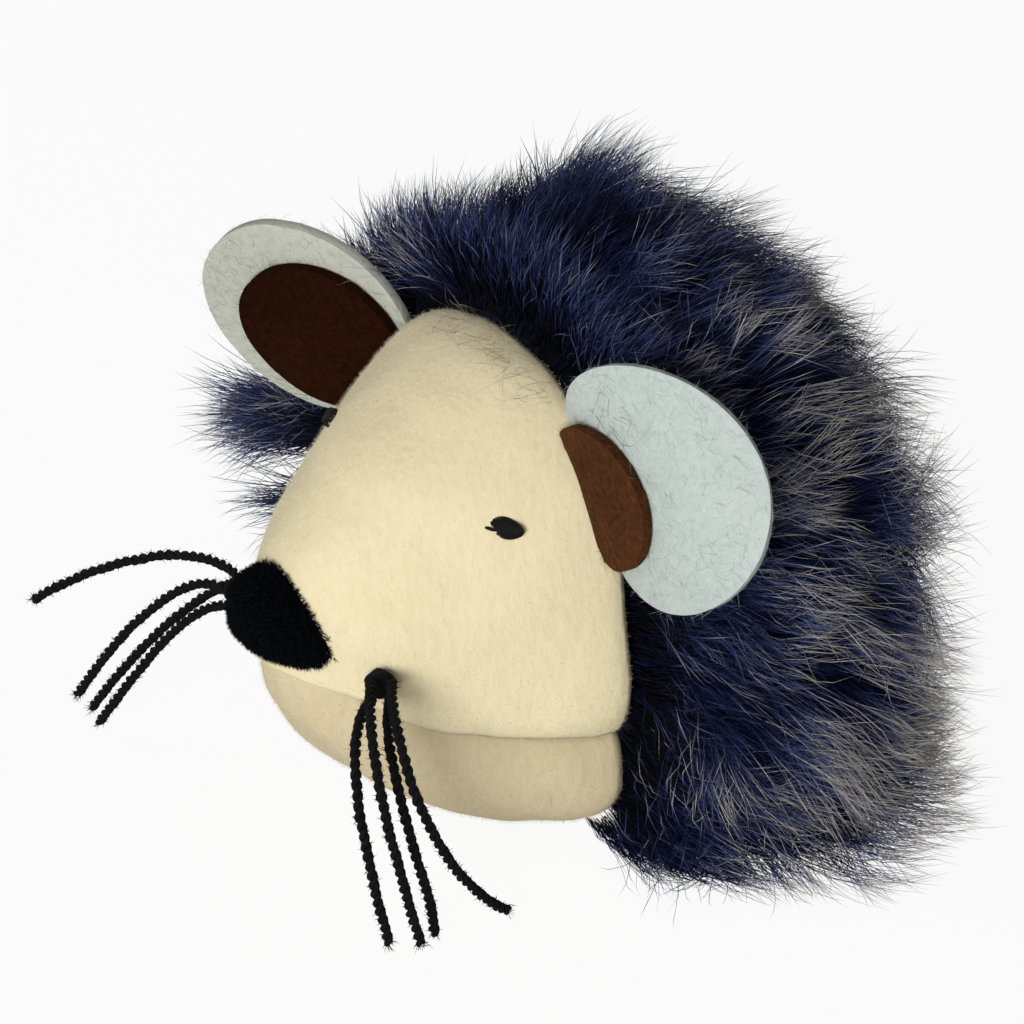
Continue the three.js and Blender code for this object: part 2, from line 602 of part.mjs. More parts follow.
// The mainspring: a flat strip wound from the arbor out to the wall of the drum's cup
function mainspring() {
  const inner = ARBOR_RADIUS + SEAT_GAP;
  const outer = SPRING_CUP_RADIUS - SEAT_GAP;
  const bottom = highGearTop + SPRING_CUP_FLOOR + SEAT_GAP;
  const top = drumTop - SEAT_GAP;
  const steps = SPRING_TURNS * SPRING_STEPS_PER_TURN;
  const rings = [];
  for (let step = 0; step <= steps; step += 1) {
    const angle = (step / SPRING_STEPS_PER_TURN) * 2 * Math.PI;
    const near = inner + (outer - inner - SPRING_STRIP) * (step / steps);
    const far = near + SPRING_STRIP;
    const corners = [[near, bottom], [far, bottom], [far, top], [near, top]];
    rings.push(corners.map(([radius, z]) => new THREE.Vector3(
      drumCentre.x + radius * Math.cos(angle), drumCentre.y + radius * Math.sin(angle), z)));
  }
  addPiece('mainspring', loft(rings), STEEL, 0.4, 0.9);
}

function idlerAndRotor() {
  const wheel = gear(IDLER_TEETH, idlerPhase, idlerCentre, lowGearBottom, lowGearTop, pinBore);
  const pinion = gear(
    IDLER_PINION_TEETH, idlerPinionPhase, idlerCentre, lowGearTop - LEVEL_GAP, highGearTop, pinBore);
  addPiece('idler_gear', wheel.add(pinion), GEAR_PLASTIC, 0.5);

  const sleeveTop = drumTop;
  const sleeve = post(rotorCentre, ROTOR_SLEEVE_RADIUS, lowGearTop - LEVEL_GAP, sleeveTop)
    .subtract(post(rotorCentre, pinBore, 0, BEYOND));
  const rotor = gear(ROTOR_TEETH, rotorPhase, rotorCentre, lowGearBottom, lowGearTop, pinBore);
  addPiece('rotor_pinion', rotor.add(sleeve), GEAR_PLASTIC, 0.5);

  const weightBottom = lowGearTop + SEAT_GAP + LEVEL_GAP;
  const weightTop = sleeveTop - SEAT_GAP;
  const half = new THREE.Shape();
  half.absarc(0, 0, WEIGHT_RADIUS, 0, Math.PI, false);
  half.lineTo(-WEIGHT_HUB, 0);
  half.absarc(0, 0, WEIGHT_HUB, Math.PI, 2 * Math.PI, false);
  half.closePath();
  const weight = slab(half, weightBottom, weightTop).translate(rotorCentre.x, rotorCentre.y, 0);
  const bore = post(rotorCentre, ROTOR_SLEEVE_RADIUS + SEAT_GAP / 2, 0, BEYOND);
  addPiece('eccentric_weight', weight.subtract(bore), STEEL, 0.4, 0.8);
}

const pinBottom = caseFloor - PIN_SEAT;
const pinTop = caseCeiling + PIN_SEAT;
const pinCentres = { drum: drumCentre, idler: idlerCentre, rotor: rotorCentre };

function pins() {
  for (const [name, centre] of Object.entries(pinCentres)) {
    addPiece(`${name}_axle`, post(centre, PIN_RADIUS, pinBottom, pinTop), STEEL, 0.3, 0.9);
  }
}

// A rounded plate in plan between the case's inside corners, grown by the given margin
function casePlate(margin, corner, bottom, top) {
  const low = caseLow.clone().subScalar(margin);
  const high = caseHigh.clone().addScalar(margin);
  const outline = new THREE.Shape();
  outline.absarc(high.x - corner, high.y - corner, corner, 0, Math.PI / 2, false);
  outline.absarc(low.x + corner, high.y - corner, corner, Math.PI / 2, Math.PI, false);
  outline.absarc(low.x + corner, low.y + corner, corner, Math.PI, 1.5 * Math.PI, false);
  outline.absarc(high.x - corner, low.y + corner, corner, 1.5 * Math.PI, 2 * Math.PI, false);
  outline.closePath();
  return slab(outline, bottom, top);
}

function screwCentres() {
  const inset = SCREW_POST_RADIUS - CASE_WALL;
  const low = caseLow.clone().addScalar(inset);
  const high = caseHigh.clone().subScalar(inset);
  return [
    new THREE.Vector2(low.x, low.y),
    new THREE.Vector2(high.x, low.y),
    new THREE.Vector2(high.x, high.y),
    new THREE.Vector2(low.x, high.y),
  ];
}

function housing() {
  const outside = casePlate(CASE_WALL, SCREW_POST_RADIUS, caseBottom, caseTop);
  const inside = casePlate(0, SCREW_POST_RADIUS - CASE_WALL, caseFloor, caseCeiling);
  let shell = outside.subtract(inside);
  const postBottom = caseFloor - CASE_WALL / 2;
  const postTop = caseCeiling + CASE_WALL / 2;
  for (const centre of screwCentres()) {
    shell = shell.add(post(centre, SCREW_POST_RADIUS, postBottom, postTop));
  }
  let base = shell.intersect(belowLevel(caseSplit - SEAM_GAP / 2));
  for (const centre of Object.values(pinCentres)) {
    base = base.add(post(centre, PIN_BOSS_RADIUS, postBottom, lowGearBottom - SEAT_GAP));
  }
  base = base.add(post(drumCentre, PIN_BOSS_RADIUS, postBottom, highGearBottom - SEAT_GAP));
  let cover = shell.subtract(belowLevel(caseSplit + SEAM_GAP / 2));
  const arborBottom = highGearTop + SPRING_CUP_FLOOR + SEAT_GAP;
  cover = cover.add(post(drumCentre, ARBOR_RADIUS, arborBottom, postTop));
  const idlerStop = highGearTop + SEAT_GAP;
  cover = cover.add(post(idlerCentre, PIN_BOSS_RADIUS, idlerStop, postTop));
  const wallFront = caseHigh.y - CUT_PAST;
  const wallBack = caseHigh.y + CASE_WALL + CUT_PAST;
  const holes = [rodAlongY(0, cordLevel, CORD_HOLE_RADIUS, wallFront, wallBack)];
  for (const centre of Object.values(pinCentres)) {
    holes.push(post(centre, pinBore, pinBottom - SEAT_GAP, pinTop + SEAT_GAP));
  }
  for (const centre of screwCentres()) {
    const headBottom = caseTop - SCREW_HEAD - SEAT_GAP;
    holes.push(post(centre, SCREW_RADIUS + SEAT_GAP, headBottom - SCREW_LENGTH - SEAT_GAP, caseTop));
    holes.push(post(centre, SCREW_HEAD_RADIUS + SEAT_GAP, headBottom, caseTop + CUT_PAST));
  }
  holes.forEach((hole) => {
    base = base.subtract(hole);
    cover = cover.subtract(hole);
  });
  addPiece('housing_base', base, CASE_PLASTIC, 0.5);
  addPiece('housing_cover', cover, CASE_PLASTIC, 0.5);
}

function screws() {
  const headTop = caseTop;
  const headBottom = headTop - SCREW_HEAD;
  const profile = [
    [0, headBottom - SCREW_LENGTH],
    [SCREW_RADIUS, headBottom - SCREW_LENGTH + SCREW_RADIUS],
    [SCREW_RADIUS, headBottom],
    [SCREW_HEAD_RADIUS, headBottom],
    [SCREW_HEAD_RADIUS, headTop - SCREW_SLOT],
    [SCREW_HEAD_RADIUS - SCREW_SLOT, headTop],
    [0, headTop],
  ].map(([radius, height]) => new THREE.Vector2(radius, height));
  screwCentres().forEach((centre, index) => {
    const turned = new THREE.LatheGeometry(profile, ROUND_SIDES / 2).rotateX(Math.PI / 2);
    const slot = block(
      new THREE.Vector3(centre.x - BEYOND, centre.y - SCREW_SLOT / 2, headTop - SCREW_SLOT),
      new THREE.Vector3(centre.x + BEYOND, centre.y + SCREW_SLOT / 2, headTop + CUT_PAST));
    const screw = solidOf(turned.translate(centre.x, centre.y, 0)).subtract(slot);
    addPiece(`housing_screw_${index + 1}`, screw, STEEL, 0.3, 0.9);
  });
}

// Skin and filling of the body

// Where the rump's skin lies at the cord's level, on the middle line
const rumpSkinY = NECK_Y + WIDEST_BEHIND_NECK + WIDTH_REACH_BACK - FUR_PILE;

function eyelet() {
  const barrelFront = rumpSkinY - SEAM_GAP;
  const profile = [
    [CORD_HOLE_RADIUS, 0],
    [EYELET_RADIUS, 0],
    [EYELET_RADIUS, EYELET_LENGTH - EYELET_FLANGE],
    [EYELET_FLANGE_RADIUS, EYELET_LENGTH - EYELET_FLANGE],
    [EYELET_FLANGE_RADIUS, EYELET_LENGTH],
    [CORD_HOLE_RADIUS, EYELET_LENGTH],
  ].map(([radius, height]) => new THREE.Vector2(radius, height));
  const turned = new THREE.LatheGeometry([...profile, profile[0]], ROUND_SIDES);
  addPiece('cord_eyelet', solidOf(turned.translate(0, barrelFront, cordLevel)), BRASS, 0.35, 0.9);
}

// The fur's outside, leaning outward from its middle near the floor
function furOutside() {
  const middleY = NECK_Y + WIDEST_BEHIND_NECK;
  return bodyForm(FUR_SETTLE, 0).warp((point) => {
    const reach = HEM_SPREAD.reach * Math.max(1 - point[2] / HEM_SPREAD.height, 0);
    const outward = new THREE.Vector2(point[0], point[1] - middleY).setLength(reach);
    point[0] += outward.x;
    point[1] += outward.y;
  });
}

function tuft() {
  const size = new THREE.Vector3(TUFT.halfLength, TUFT.halfWidth, TUFT.halfHeight);
  const place = new THREE.Vector3(-HEAD_HALF_WIDTH - TUFT.outside, NECK_Y - TUFT.ahead, HEAD_LEVEL + TUFT.up);
  return budOnHead(size, place, TUFT.turn);
}

function bodySkinAndFilling(earRooms) {
  let fur = furOutside().subtract(aheadOfBody).add(tuft()).subtract(bodyForm(FUR_PILE, NECK_TUCK));
  fur = fur.subtract(belowLevel(HEM_ABOVE_FLOOR));
  const flangeFront = rumpSkinY - SEAM_GAP + EYELET_LENGTH - EYELET_FLANGE - SEAM_GAP;
  fur = fur.subtract(rodAlongY(0, cordLevel, EYELET_RADIUS + SEAM_GAP, 0, flangeFront + CUT_PAST));
  fur = fur.subtract(rodAlongY(0, cordLevel, EYELET_FLANGE_RADIUS + SEAM_GAP, flangeFront, BEYOND));
  earRooms.forEach((room) => {
    fur = fur.subtract(room);
  });
  addPiece('fur_cover', fur, NAVY_FUR);

  const inside = bodyForm(FUR_PILE + SEAM_GAP, NECK_TUCK).subtract(aheadOfBody);
  const belly = inside.intersect(belowLevel(BELLY_CLOTH)).subtract(belowLevel(0));
  addPiece('belly_panel', belly, BELLY_GREY);

  const pocket = casePlate(CASE_WALL + SEAM_GAP, SCREW_POST_RADIUS + SEAM_GAP, 0, caseTop + SEAM_GAP);
  const channel = rodAlongY(0, cordLevel, CORD_HOLE_RADIUS, caseHigh.y, BEYOND);
  const filling = inside.subtract(belowLevel(BELLY_CLOTH + SEAM_GAP)).subtract(pocket).subtract(channel);
  addPiece('body_stuffing', filling, WHITE_FILLING);
}

headPanels();
noseEyesAndKnots();
whiskers();
bodySkinAndFilling(ears());
eyelet();
housing();
screws();
drum();
mainspring();
idlerAndRotor();
pins();

export default mouse;
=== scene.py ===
"""The looks of the vibrating toy mouse: plush, fur, felt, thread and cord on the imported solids."""

import math

import bpy
import numpy as np
from mathutils import Matrix, Vector
from mathutils.kdtree import KDTree


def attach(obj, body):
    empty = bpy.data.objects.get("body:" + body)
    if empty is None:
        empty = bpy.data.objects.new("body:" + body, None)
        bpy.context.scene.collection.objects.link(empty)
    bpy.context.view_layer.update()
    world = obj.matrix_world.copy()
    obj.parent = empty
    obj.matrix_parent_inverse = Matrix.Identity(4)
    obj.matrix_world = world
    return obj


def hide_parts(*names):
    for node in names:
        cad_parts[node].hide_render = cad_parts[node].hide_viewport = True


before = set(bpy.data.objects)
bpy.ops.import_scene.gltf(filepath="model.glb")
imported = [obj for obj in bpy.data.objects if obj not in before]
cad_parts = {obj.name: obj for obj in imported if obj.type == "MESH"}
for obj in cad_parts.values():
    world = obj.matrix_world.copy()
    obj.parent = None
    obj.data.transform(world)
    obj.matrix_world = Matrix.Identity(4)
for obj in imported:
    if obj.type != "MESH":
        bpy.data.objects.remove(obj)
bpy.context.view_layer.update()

MM = 0.001
BODY = "mouse"
HAIR_UV = "OFBake"
WHITE = (1, 1, 1, 1)
BACKWARD = np.array((0.0, 1.0, 0.0))
DOWNWARD = np.array((0.0, 0.0, -1.0))

rng = np.random.default_rng(7)

# Camera: where the photographer stood, in degrees, millimetres and pixels of the photo
CAMERA_TURN = 52
CAMERA_RISE = 25
CAMERA_DISTANCE = 400
CAMERA_NEAR = 10
AIM_HEIGHT = 33.9
SENSOR_WIDTH = 36
PIXELS_PER_MM = 9
PHOTO_SIZE = 1024
PHOTO_SHIFT = (-35, -25)

# Head, in millimetres, as the solids have it: distances run forward from the neck seam
NECK_Y = -8.0
HEAD_LENGTH = 31.0
HEAD_HALF_WIDTH = 24.5
HEAD_LEVEL = 28.5
MUZZLE_SINK = 1.0
CROWN_RISE = 28.5
CHIN_DROP = 27.5
CHEEK_TAPER = (1.25, 0.66)
CROWN_TAPER = (1.35, 0.64)
CHIN_TAPER = (2.0, 0.62)
CROWN_ROUNDNESS = 2.2
CHIN_ROUNDNESS = (4.4, 2.4)

# Body: distances run backward from the neck seam
BODY_HALF_WIDTH = 40.5
BODY_TOP = 68.0
BODY_LEVEL = 18.0
BODY_UNDER = 26.0
BODY_ROUNDNESS = 2.2
FLANK_ROUNDNESS = 3.5
WIDEST_BEHIND_NECK = 20.0
WIDTH_REACH = (30.0, 26.0)
HIGHEST_BEHIND_NECK = 14.0
HEIGHT_REACH = (34.0, 32.0)
NECK_TUCK = 5.0
FUR_PILE = 9.0
SEAM_GAP = 0.3


def set_camera():
    turn = math.radians(CAMERA_TURN)
    rise = math.radians(CAMERA_RISE)
    back = Vector((math.sin(turn) * math.cos(rise), -math.cos(turn) * math.cos(rise), math.sin(rise)))
    right = Vector((math.cos(turn), math.sin(turn), 0))
    up = back.cross(right)
    bpy.ops.object.camera_add()
    camera = bpy.context.object
    camera.matrix_world = Matrix((right, up, back)).transposed().to_4x4()
    camera.location = Vector((0, 0, AIM_HEIGHT * MM)) + back * (CAMERA_DISTANCE * MM)
    camera.data.sensor_width = SENSOR_WIDTH
    camera.data.lens = SENSOR_WIDTH * PIXELS_PER_MM * CAMERA_DISTANCE / PHOTO_SIZE
    camera.data.shift_x = PHOTO_SHIFT[0] / PHOTO_SIZE
    camera.data.shift_y = PHOTO_SHIFT[1] / PHOTO_SIZE
    camera.data.clip_start = CAMERA_NEAR * MM
    bpy.context.scene.camera = camera


set_camera()


# Numbers and directions

def fade(value, none, full):
    """Runs evenly from 0, where the value is none, to 1, where it is full."""
    return np.clip((value - none) / (full - none), 0, 1)


def scatter(spread, *shape):
    """Random offsets to both sides."""
    return spread * rng.normal(size=shape)


def between(low, high, *shape):
    """Random values in a range."""
    return low + (high - low) * rng.random(shape)


def bell(value, middle, spread):
    return np.exp(-((value - middle) / spread) ** 2)


def unit(vectors):
    return vectors / np.maximum(np.linalg.norm(vectors, axis=-1, keepdims=True), 1e-9)


def along_surface(vectors, normals):
    return unit(vectors - normals * (vectors * normals).sum(-1, keepdims=True))


def run_along(line):
    """How far along a line each of its points lies."""
    return np.concatenate([[0], np.cumsum(np.linalg.norm(np.diff(line, axis=0), axis=1))])


# Forms of the head and body, in millimetres

SMALLEST_REACH = 0.01


def swell(share, power, ease):
    return np.maximum(1 - np.abs(share) ** power, 0) ** ease


def oval(angle, half_width, level, rise, drop, upper, lower):
    across, along = np.cos(angle), np.sin(angle)
    is_upper = along >= -1e-9
    bend = 2 / np.where(is_upper, upper, lower)
    reach = np.where(is_upper, rise, drop)
    x = half_width * np.sign(across) * np.abs(across) ** bend
    z = level + reach * np.sign(along) * np.abs(along) ** bend
    return x, z


def head_ring(share):
    width = HEAD_HALF_WIDTH * swell(share, *CHEEK_TAPER)
    rise = CROWN_RISE * swell(share, *CROWN_TAPER)
    drop = CHIN_DROP * swell(share, *CHIN_TAPER)
    level = HEAD_LEVEL - MUZZLE_SINK * share
    lower = CHIN_ROUNDNESS[0] + (CHIN_ROUNDNESS[1] - CHIN_ROUNDNESS[0]) * share
    return width, level, rise, drop, lower


def head_points(share, angle):
    width, level, rise, drop, lower = head_ring(share)
    x, z = oval(angle, width, level, rise, drop, CROWN_ROUNDNESS, lower)
    return np.stack([x, NECK_Y - HEAD_LENGTH * share, z], -1)


def head_side(forward, up):
    """How far the head's side stands from its middle plane."""
    share = forward / HEAD_LENGTH
    width, _, rise, drop, lower = head_ring(share)
    over = up + MUZZLE_SINK * share
    upper = over >= 0
    reach = rise if upper else drop
    roundness = CROWN_ROUNDNESS if upper else lower
    return float(width * swell(over / reach, roundness, 1 / roundness))


def head_share(points):
    """How far ahead of the neck seam points lie, as a share of the head's length."""
    return fade(points[:, 1], NECK_Y, NECK_Y - HEAD_LENGTH)


def behind_neck(points):
    return points[:, 1] - NECK_Y


def inside_head(points, grow):
    width, level, rise, drop, lower = head_ring(head_share(points))
    up = points[:, 2] - level
    roundness = np.where(up >= 0, CROWN_ROUNDNESS, lower)
    reach = np.maximum(np.where(up >= 0, rise, drop) + grow, SMALLEST_REACH)
    side = np.maximum(width + grow, SMALLEST_REACH)
    from_middle = (np.abs(points[:, 0]) / side) ** roundness + (np.abs(up) / reach) ** roundness
    return (from_middle < 1) & (behind_neck(points) < 2)


def body_share(behind, peak, reach_front, reach_back):
    share = np.where(behind < peak, (peak - behind) / reach_front, (behind - peak) / reach_back)
    return swell(np.minimum(share, 1), BODY_ROUNDNESS, 1 / BODY_ROUNDNESS)


def body_ring(behind, depth, tuck):
    width = (BODY_HALF_WIDTH - depth) * body_share(
        behind, WIDEST_BEHIND_NECK, WIDTH_REACH[0] - tuck, WIDTH_REACH[1] - depth)
    rise = (BODY_TOP - BODY_LEVEL - depth) * body_share(
        behind, HIGHEST_BEHIND_NECK, HEIGHT_REACH[0] - tuck, HEIGHT_REACH[1] - depth)
    return width, rise


# Modelling helpers

def start_fresh():
    if bpy.context.object and bpy.context.object.mode != "OBJECT":
        bpy.ops.object.mode_set(mode="OBJECT")
    bpy.ops.object.select_all(action="DESELECT")


def only(piece):
    start_fresh()
    piece.select_set(True)
    bpy.context.view_layer.objects.active = piece


def read(items, name, width, kind=np.float32):
    """One value of a mesh's points, faces or triangles, in rows of the given width."""
    flat = np.empty(len(items) * width, kind)
    items.foreach_get(name, flat)
    return flat.reshape(-1, width)


def vertex_array(piece):
    return read(piece.data.vertices, "co", 3).astype(float)


def place_vertices(piece, points):
    piece.data.vertices.foreach_set("co", np.asarray(points, np.float32).ravel())
    piece.data.update()


def link_piece(name, mesh):
    piece = bpy.data.objects.new(name, mesh)
    bpy.context.scene.collection.objects.link(piece)
    return piece


def patch(name, columns, rows, place):
    """A cloth patch: a grid whose points are laid over a form. place takes shares across and along."""
    start_fresh()
    bpy.ops.mesh.primitive_grid_add(x_subdivisions=columns, y_subdivisions=rows, size=2)
    piece = bpy.context.object
    piece.name = name
    piece.data.name = name
    shares = (vertex_array(piece)[:, :2] + 1) / 2
    place_vertices(piece, place(shares[:, 0], shares[:, 1]) * MM)
    return piece


def in_edit(piece, step, **settings):
    only(piece)
    bpy.ops.object.mode_set(mode="EDIT")
    bpy.ops.mesh.select_all(action="SELECT")
    step(**settings)
    bpy.ops.object.mode_set(mode="OBJECT")


def join_points(piece, distance=0.02):
    """Joins points that lie together, as at the poles of a patch."""
    in_edit(piece, bpy.ops.mesh.remove_doubles, threshold=distance * MM)


def face_away_from(piece, middle):
    """Turns the faces so that most of them look away from a point inside, in millimetres."""
    faces = piece.data.polygons
    outward = read(faces, "center", 3) - np.array(middle) * MM
    if (read(faces, "normal", 3) * outward * read(faces, "area", 1)).sum() < 0:
        in_edit(piece, bpy.ops.mesh.flip_normals)


def apply_modifier(piece, kind, name, **settings):
    only(piece)
    modifier = piece.modifiers.new(name, kind)
    for key, value in settings.items():
        setattr(modifier, key, value)
    bpy.ops.object.modifier_apply(modifier=name)


def thicken(piece, thickness, offset=-1):
    apply_modifier(piece, "SOLIDIFY", "cloth thickness", thickness=thickness * MM, offset=offset)


def ripple(piece, strength, size):
    """Pushes the surface in and out softly, as stuffing does under cloth."""
    texture = bpy.data.textures.new(f"lumps of {piece.name}", "CLOUDS")
    texture.noise_scale = size * MM
    texture.noise_depth = 1
    apply_modifier(
        piece, "DISPLACE", "stuffing lumps", texture=texture, strength=strength * MM,
        texture_coords="LOCAL")
    bpy.data.textures.remove(texture)


def smooth(piece):
    only(piece)
    bpy.ops.object.shade_smooth()


def finish_piece(piece, material, slot, *nodes):
    piece.data.materials.clear()
    piece.data.materials.append(material)
    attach(piece, BODY)
    if nodes:
        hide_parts(*nodes)
    return piece


def sample(piece, count, keep=None):
    """Random places on a piece's faces, with the smooth normal at each, in millimetres."""
    mesh = piece.data
    mesh.calc_loop_triangles()
    corners = read(mesh.loop_triangles, "vertices", 3, np.int32)
    points = vertex_array(piece) / MM
    normals = read(mesh.vertices, "normal", 3)
    a, b, c = (points[corners[:, i]] for i in range(3))
    if keep is not None:
        kept = keep((a + b + c) / 3, normals[corners[:, 0]])
        corners, a, b, c = corners[kept], a[kept], b[kept], c[kept]
    area = np.linalg.norm(np.cross(b - a, c - a), axis=1)
    chosen = rng.choice(len(corners), count, p=area / area.sum())
    u, v = rng.random((2, count, 1))
    over = (u + v) > 1
    u, v = np.where(over, 1 - u, u), np.where(over, 1 - v, v)
    w = 1 - u - v
    place = a[chosen] * w + b[chosen] * u + c[chosen] * v
    facing = unit(sum(normals[corners[chosen, i]] * s for i, s in enumerate((w, u, v))))
    return place, facing


def keep_above(points, height):
    points[..., 2] = np.maximum(points[..., 2], height)
    return points


# Hairs: slim three-sided spikes

STRIP_HALF_WIDTH = 0.006
STRIP_MARGIN = 0.01
LAST_RING_HEIGHT = 0.9
FUR_ABOVE_FLOOR = 0.3


def spike_faces(rings):
    """The corner numbers of one hair's faces, and how many each face has."""
    corners, sizes = [0, 2, 1], [3]
    for row in range(rings - 1):
        for i in range(3):
            j = (i + 1) % 3
            corners += [row * 3 + i, row * 3 + j, row * 3 + 3 + j, row * 3 + 3 + i]
            sizes.append(4)
    last = (rings - 1) * 3
    for i in range(3):
        corners += [last + i, last + (i + 1) % 3, rings * 3]
        sizes.append(3)
    return np.array(corners), np.array(sizes)


def spike_strips(rings, tone):
    """Each hair's own UV strip: its tone across, and root to tip along."""
    strip = np.append(np.tile([-1.0, 0.0, 1.0], rings), 0.0) * STRIP_HALF_WIDTH
    height = np.repeat(np.linspace(STRIP_MARGIN, LAST_RING_HEIGHT, rings), 3)
    height = np.append(height, 1 - STRIP_MARGIN)
    middle = STRIP_MARGIN + (1 - 2 * STRIP_MARGIN) * np.clip(tone, 0, 1)
    across = middle[:, None] + strip[None, :]
    return np.stack([across, np.broadcast_to(height, across.shape)], -1).reshape(-1, 2)


def strands(name, paths, radius, taper, tone):
    count, steps, _ = paths.shape
    rings = steps - 1
    tangent = unit(np.gradient(paths, axis=1))
    side = unit(np.cross(tangent, unit(scatter(1, count, 1, 3))))
    other = np.cross(tangent, side)
    turn = (np.arange(3) * 2 * np.pi / 3)[:, None]
    reach = (radius[:, None] * taper[None, :rings])[:, :, None, None]
    ring = paths[:, :rings, None, :] + reach * (
        np.cos(turn) * side[:, :rings, None, :] + np.sin(turn) * other[:, :rings, None, :])
    points = np.concatenate([ring.reshape(count, -1, 3), paths[:, -1:, :]], 1)
    corners, sizes = spike_faces(rings)
    loops = (corners[None, :] + np.arange(count)[:, None] * points.shape[1]).ravel()
    totals = np.tile(sizes, count)
    starts = np.concatenate([[0], np.cumsum(totals)[:-1]])
    mesh = bpy.data.meshes.new(name)
    mesh.vertices.add(points.shape[0] * points.shape[1])
    mesh.vertices.foreach_set("co", (points * MM).astype(np.float32).ravel())
    mesh.loops.add(len(loops))
    mesh.loops.foreach_set("vertex_index", loops.astype(np.int32))
    mesh.polygons.add(len(totals))
    mesh.polygons.foreach_set("loop_start", starts.astype(np.int32))
    mesh.polygons.foreach_set("loop_total", totals.astype(np.int32))
    mesh.polygons.foreach_set("use_smooth", np.ones(len(totals), bool))
    layer = mesh.uv_layers.new(name=HAIR_UV)
    layer.data.foreach_set("uv", spike_strips(rings, tone)[loops].astype(np.float32).ravel())
    mesh.update(calc_edges=True)
    mesh.validate()
    return link_piece(name, mesh)


def short_paths(places, facing, length, stray, steps, lean=0.0):
    """Short hairs that start on a surface and lean over a little."""
    side = along_surface(scatter(1, *places.shape), facing)
    heading = unit(facing + stray * side * rng.random((len(places), 1)) + lean)
    run = np.linspace(-0.12, 1, steps)[None, :, None]
    droop = (run ** 2) * 0.25 * (side * stray + lean)[:, None, :]
    return places[:, None] + length[:, None, None] * (heading[:, None] * run + droop)


def nap(piece, name, count, material, slot, length, radius, stray, steps, lie, mess, lean, keep=None):
    """Short hairs that stand on a piece. They lean the way they lie, more or less in a mess."""
    places, facing = sample(piece, count, keep)
    way = along_surface(np.array(lie) + scatter(mess, count, 3), facing)
    paths = short_paths(places, facing, between(*length, count), stray, steps, lean * way)
    keep_above(paths, FUR_ABOVE_FLOOR)
    taper = np.linspace(1.0, 0.8, steps - 1)
    hairs = strands(name, paths, between(*radius, count), taper, rng.random(count))
    finish_piece(hairs, material, slot)


# Materials

MOTTLE_SCALE = 60
MOTTLE_SHARE = 0.45
MOTTLE_RANGE = (0.3, 0.7)
GRAIN_HEIGHT = 0.3
TOOL_MARK_HEIGHT = 0.05


def add_node(tree, kind, inputs):
    """A new node whose inputs are wired to other outputs or set to constants."""
    node = tree.nodes.new(kind)
    for socket, value in inputs.items():
        if isinstance(value, bpy.types.NodeSocket):
            tree.links.new(value, node.inputs[socket])
        else:
            node.inputs[socket].default_value = value
    return node


def add_math(tree, operation, *values):
    node = add_node(tree, "ShaderNodeMath", dict(enumerate(values)))
    node.operation = operation
    return node


def new_material(name, roughness, specular, sheen=0.0, metallic=0.0):
    material = bpy.data.materials.new(name)
    material.use_nodes = True
    shader = material.node_tree.nodes["Principled BSDF"]
    shader.inputs["Roughness"].default_value = roughness
    shader.inputs["Specular IOR Level"].default_value = specular
    shader.inputs["Metallic"].default_value = metallic
    shader.inputs["Sheen Weight"].default_value = sheen
    return material, material.node_tree, shader


def rgb(hexa):
    """A written colour as the shader's linear numbers."""
    parts = [int(hexa[i:i + 2], 16) / 255 for i in (0, 2, 4)]
    return [p / 12.92 if p <= 0.04045 else ((p + 0.055) / 1.055) ** 2.4 for p in parts] + [1]


def colour_by(tree, shader, factor, stops):
    """Colours a material by a factor: stops are places from 0 to 1 with their colours."""
    ramp = add_node(tree, "ShaderNodeValToRGB", {"Fac": factor})
    elements = ramp.color_ramp.elements
    while len(elements) < len(stops):
        elements.new(0.5)
    for element, (position, colour) in zip(elements, stops):
        element.position = position
        element.color = rgb(colour)
    tree.links.new(ramp.outputs["Color"], shader.inputs["Base Color"])


def noise(tree, place, scale, detail, stretch=(1, 1, 1)):
    mapping = add_node(tree, "ShaderNodeMapping", {"Vector": place, "Scale": stretch})
    node = add_node(
        tree, "ShaderNodeTexNoise", {"Vector": mapping.outputs["Vector"], "Scale": scale, "Detail": detail})
    return node.outputs["Fac"]


def raise_by(tree, shader, height, strength, distance):
    bump = add_node(
        tree, "ShaderNodeBump", {"Strength": strength, "Distance": distance * MM, "Height": height})
    tree.links.new(bump.outputs["Normal"], shader.inputs["Normal"])


def cloth(name, colours, grain, roughness, bump, sheen=0.0, stretch=(1, 1, 1), specular=0.1):
    """Cloth coloured by a soft large mottle and a fine grain, with the grain raised."""
    material, tree, shader = new_material(name, roughness, specular, sheen)
    place = tree.nodes.new("ShaderNodeTexCoord").outputs["Object"]
    fine = noise(tree, place, grain, detail=4, stretch=stretch)
    broad = noise(tree, place, MOTTLE_SCALE, detail=2)
    mix = add_node(tree, "ShaderNodeMix", {"Factor": MOTTLE_SHARE, "A": fine, "B": broad})
    stops = list(zip(np.linspace(*MOTTLE_RANGE, len(colours)), colours))
    colour_by(tree, shader, mix.outputs["Result"], stops)
    raise_by(tree, shader, fine, bump, GRAIN_HEIGHT)
    return material


def plush(name, *colours):
    return cloth(name, colours, grain=1100, roughness=0.95, bump=0.45, sheen=0.1, stretch=(1, 1, 0.5))


def felt(name, *colours, bump=0.4, specular=0.1):
    return cloth(name, colours, grain=1400, roughness=0.95, bump=bump, specular=specular)


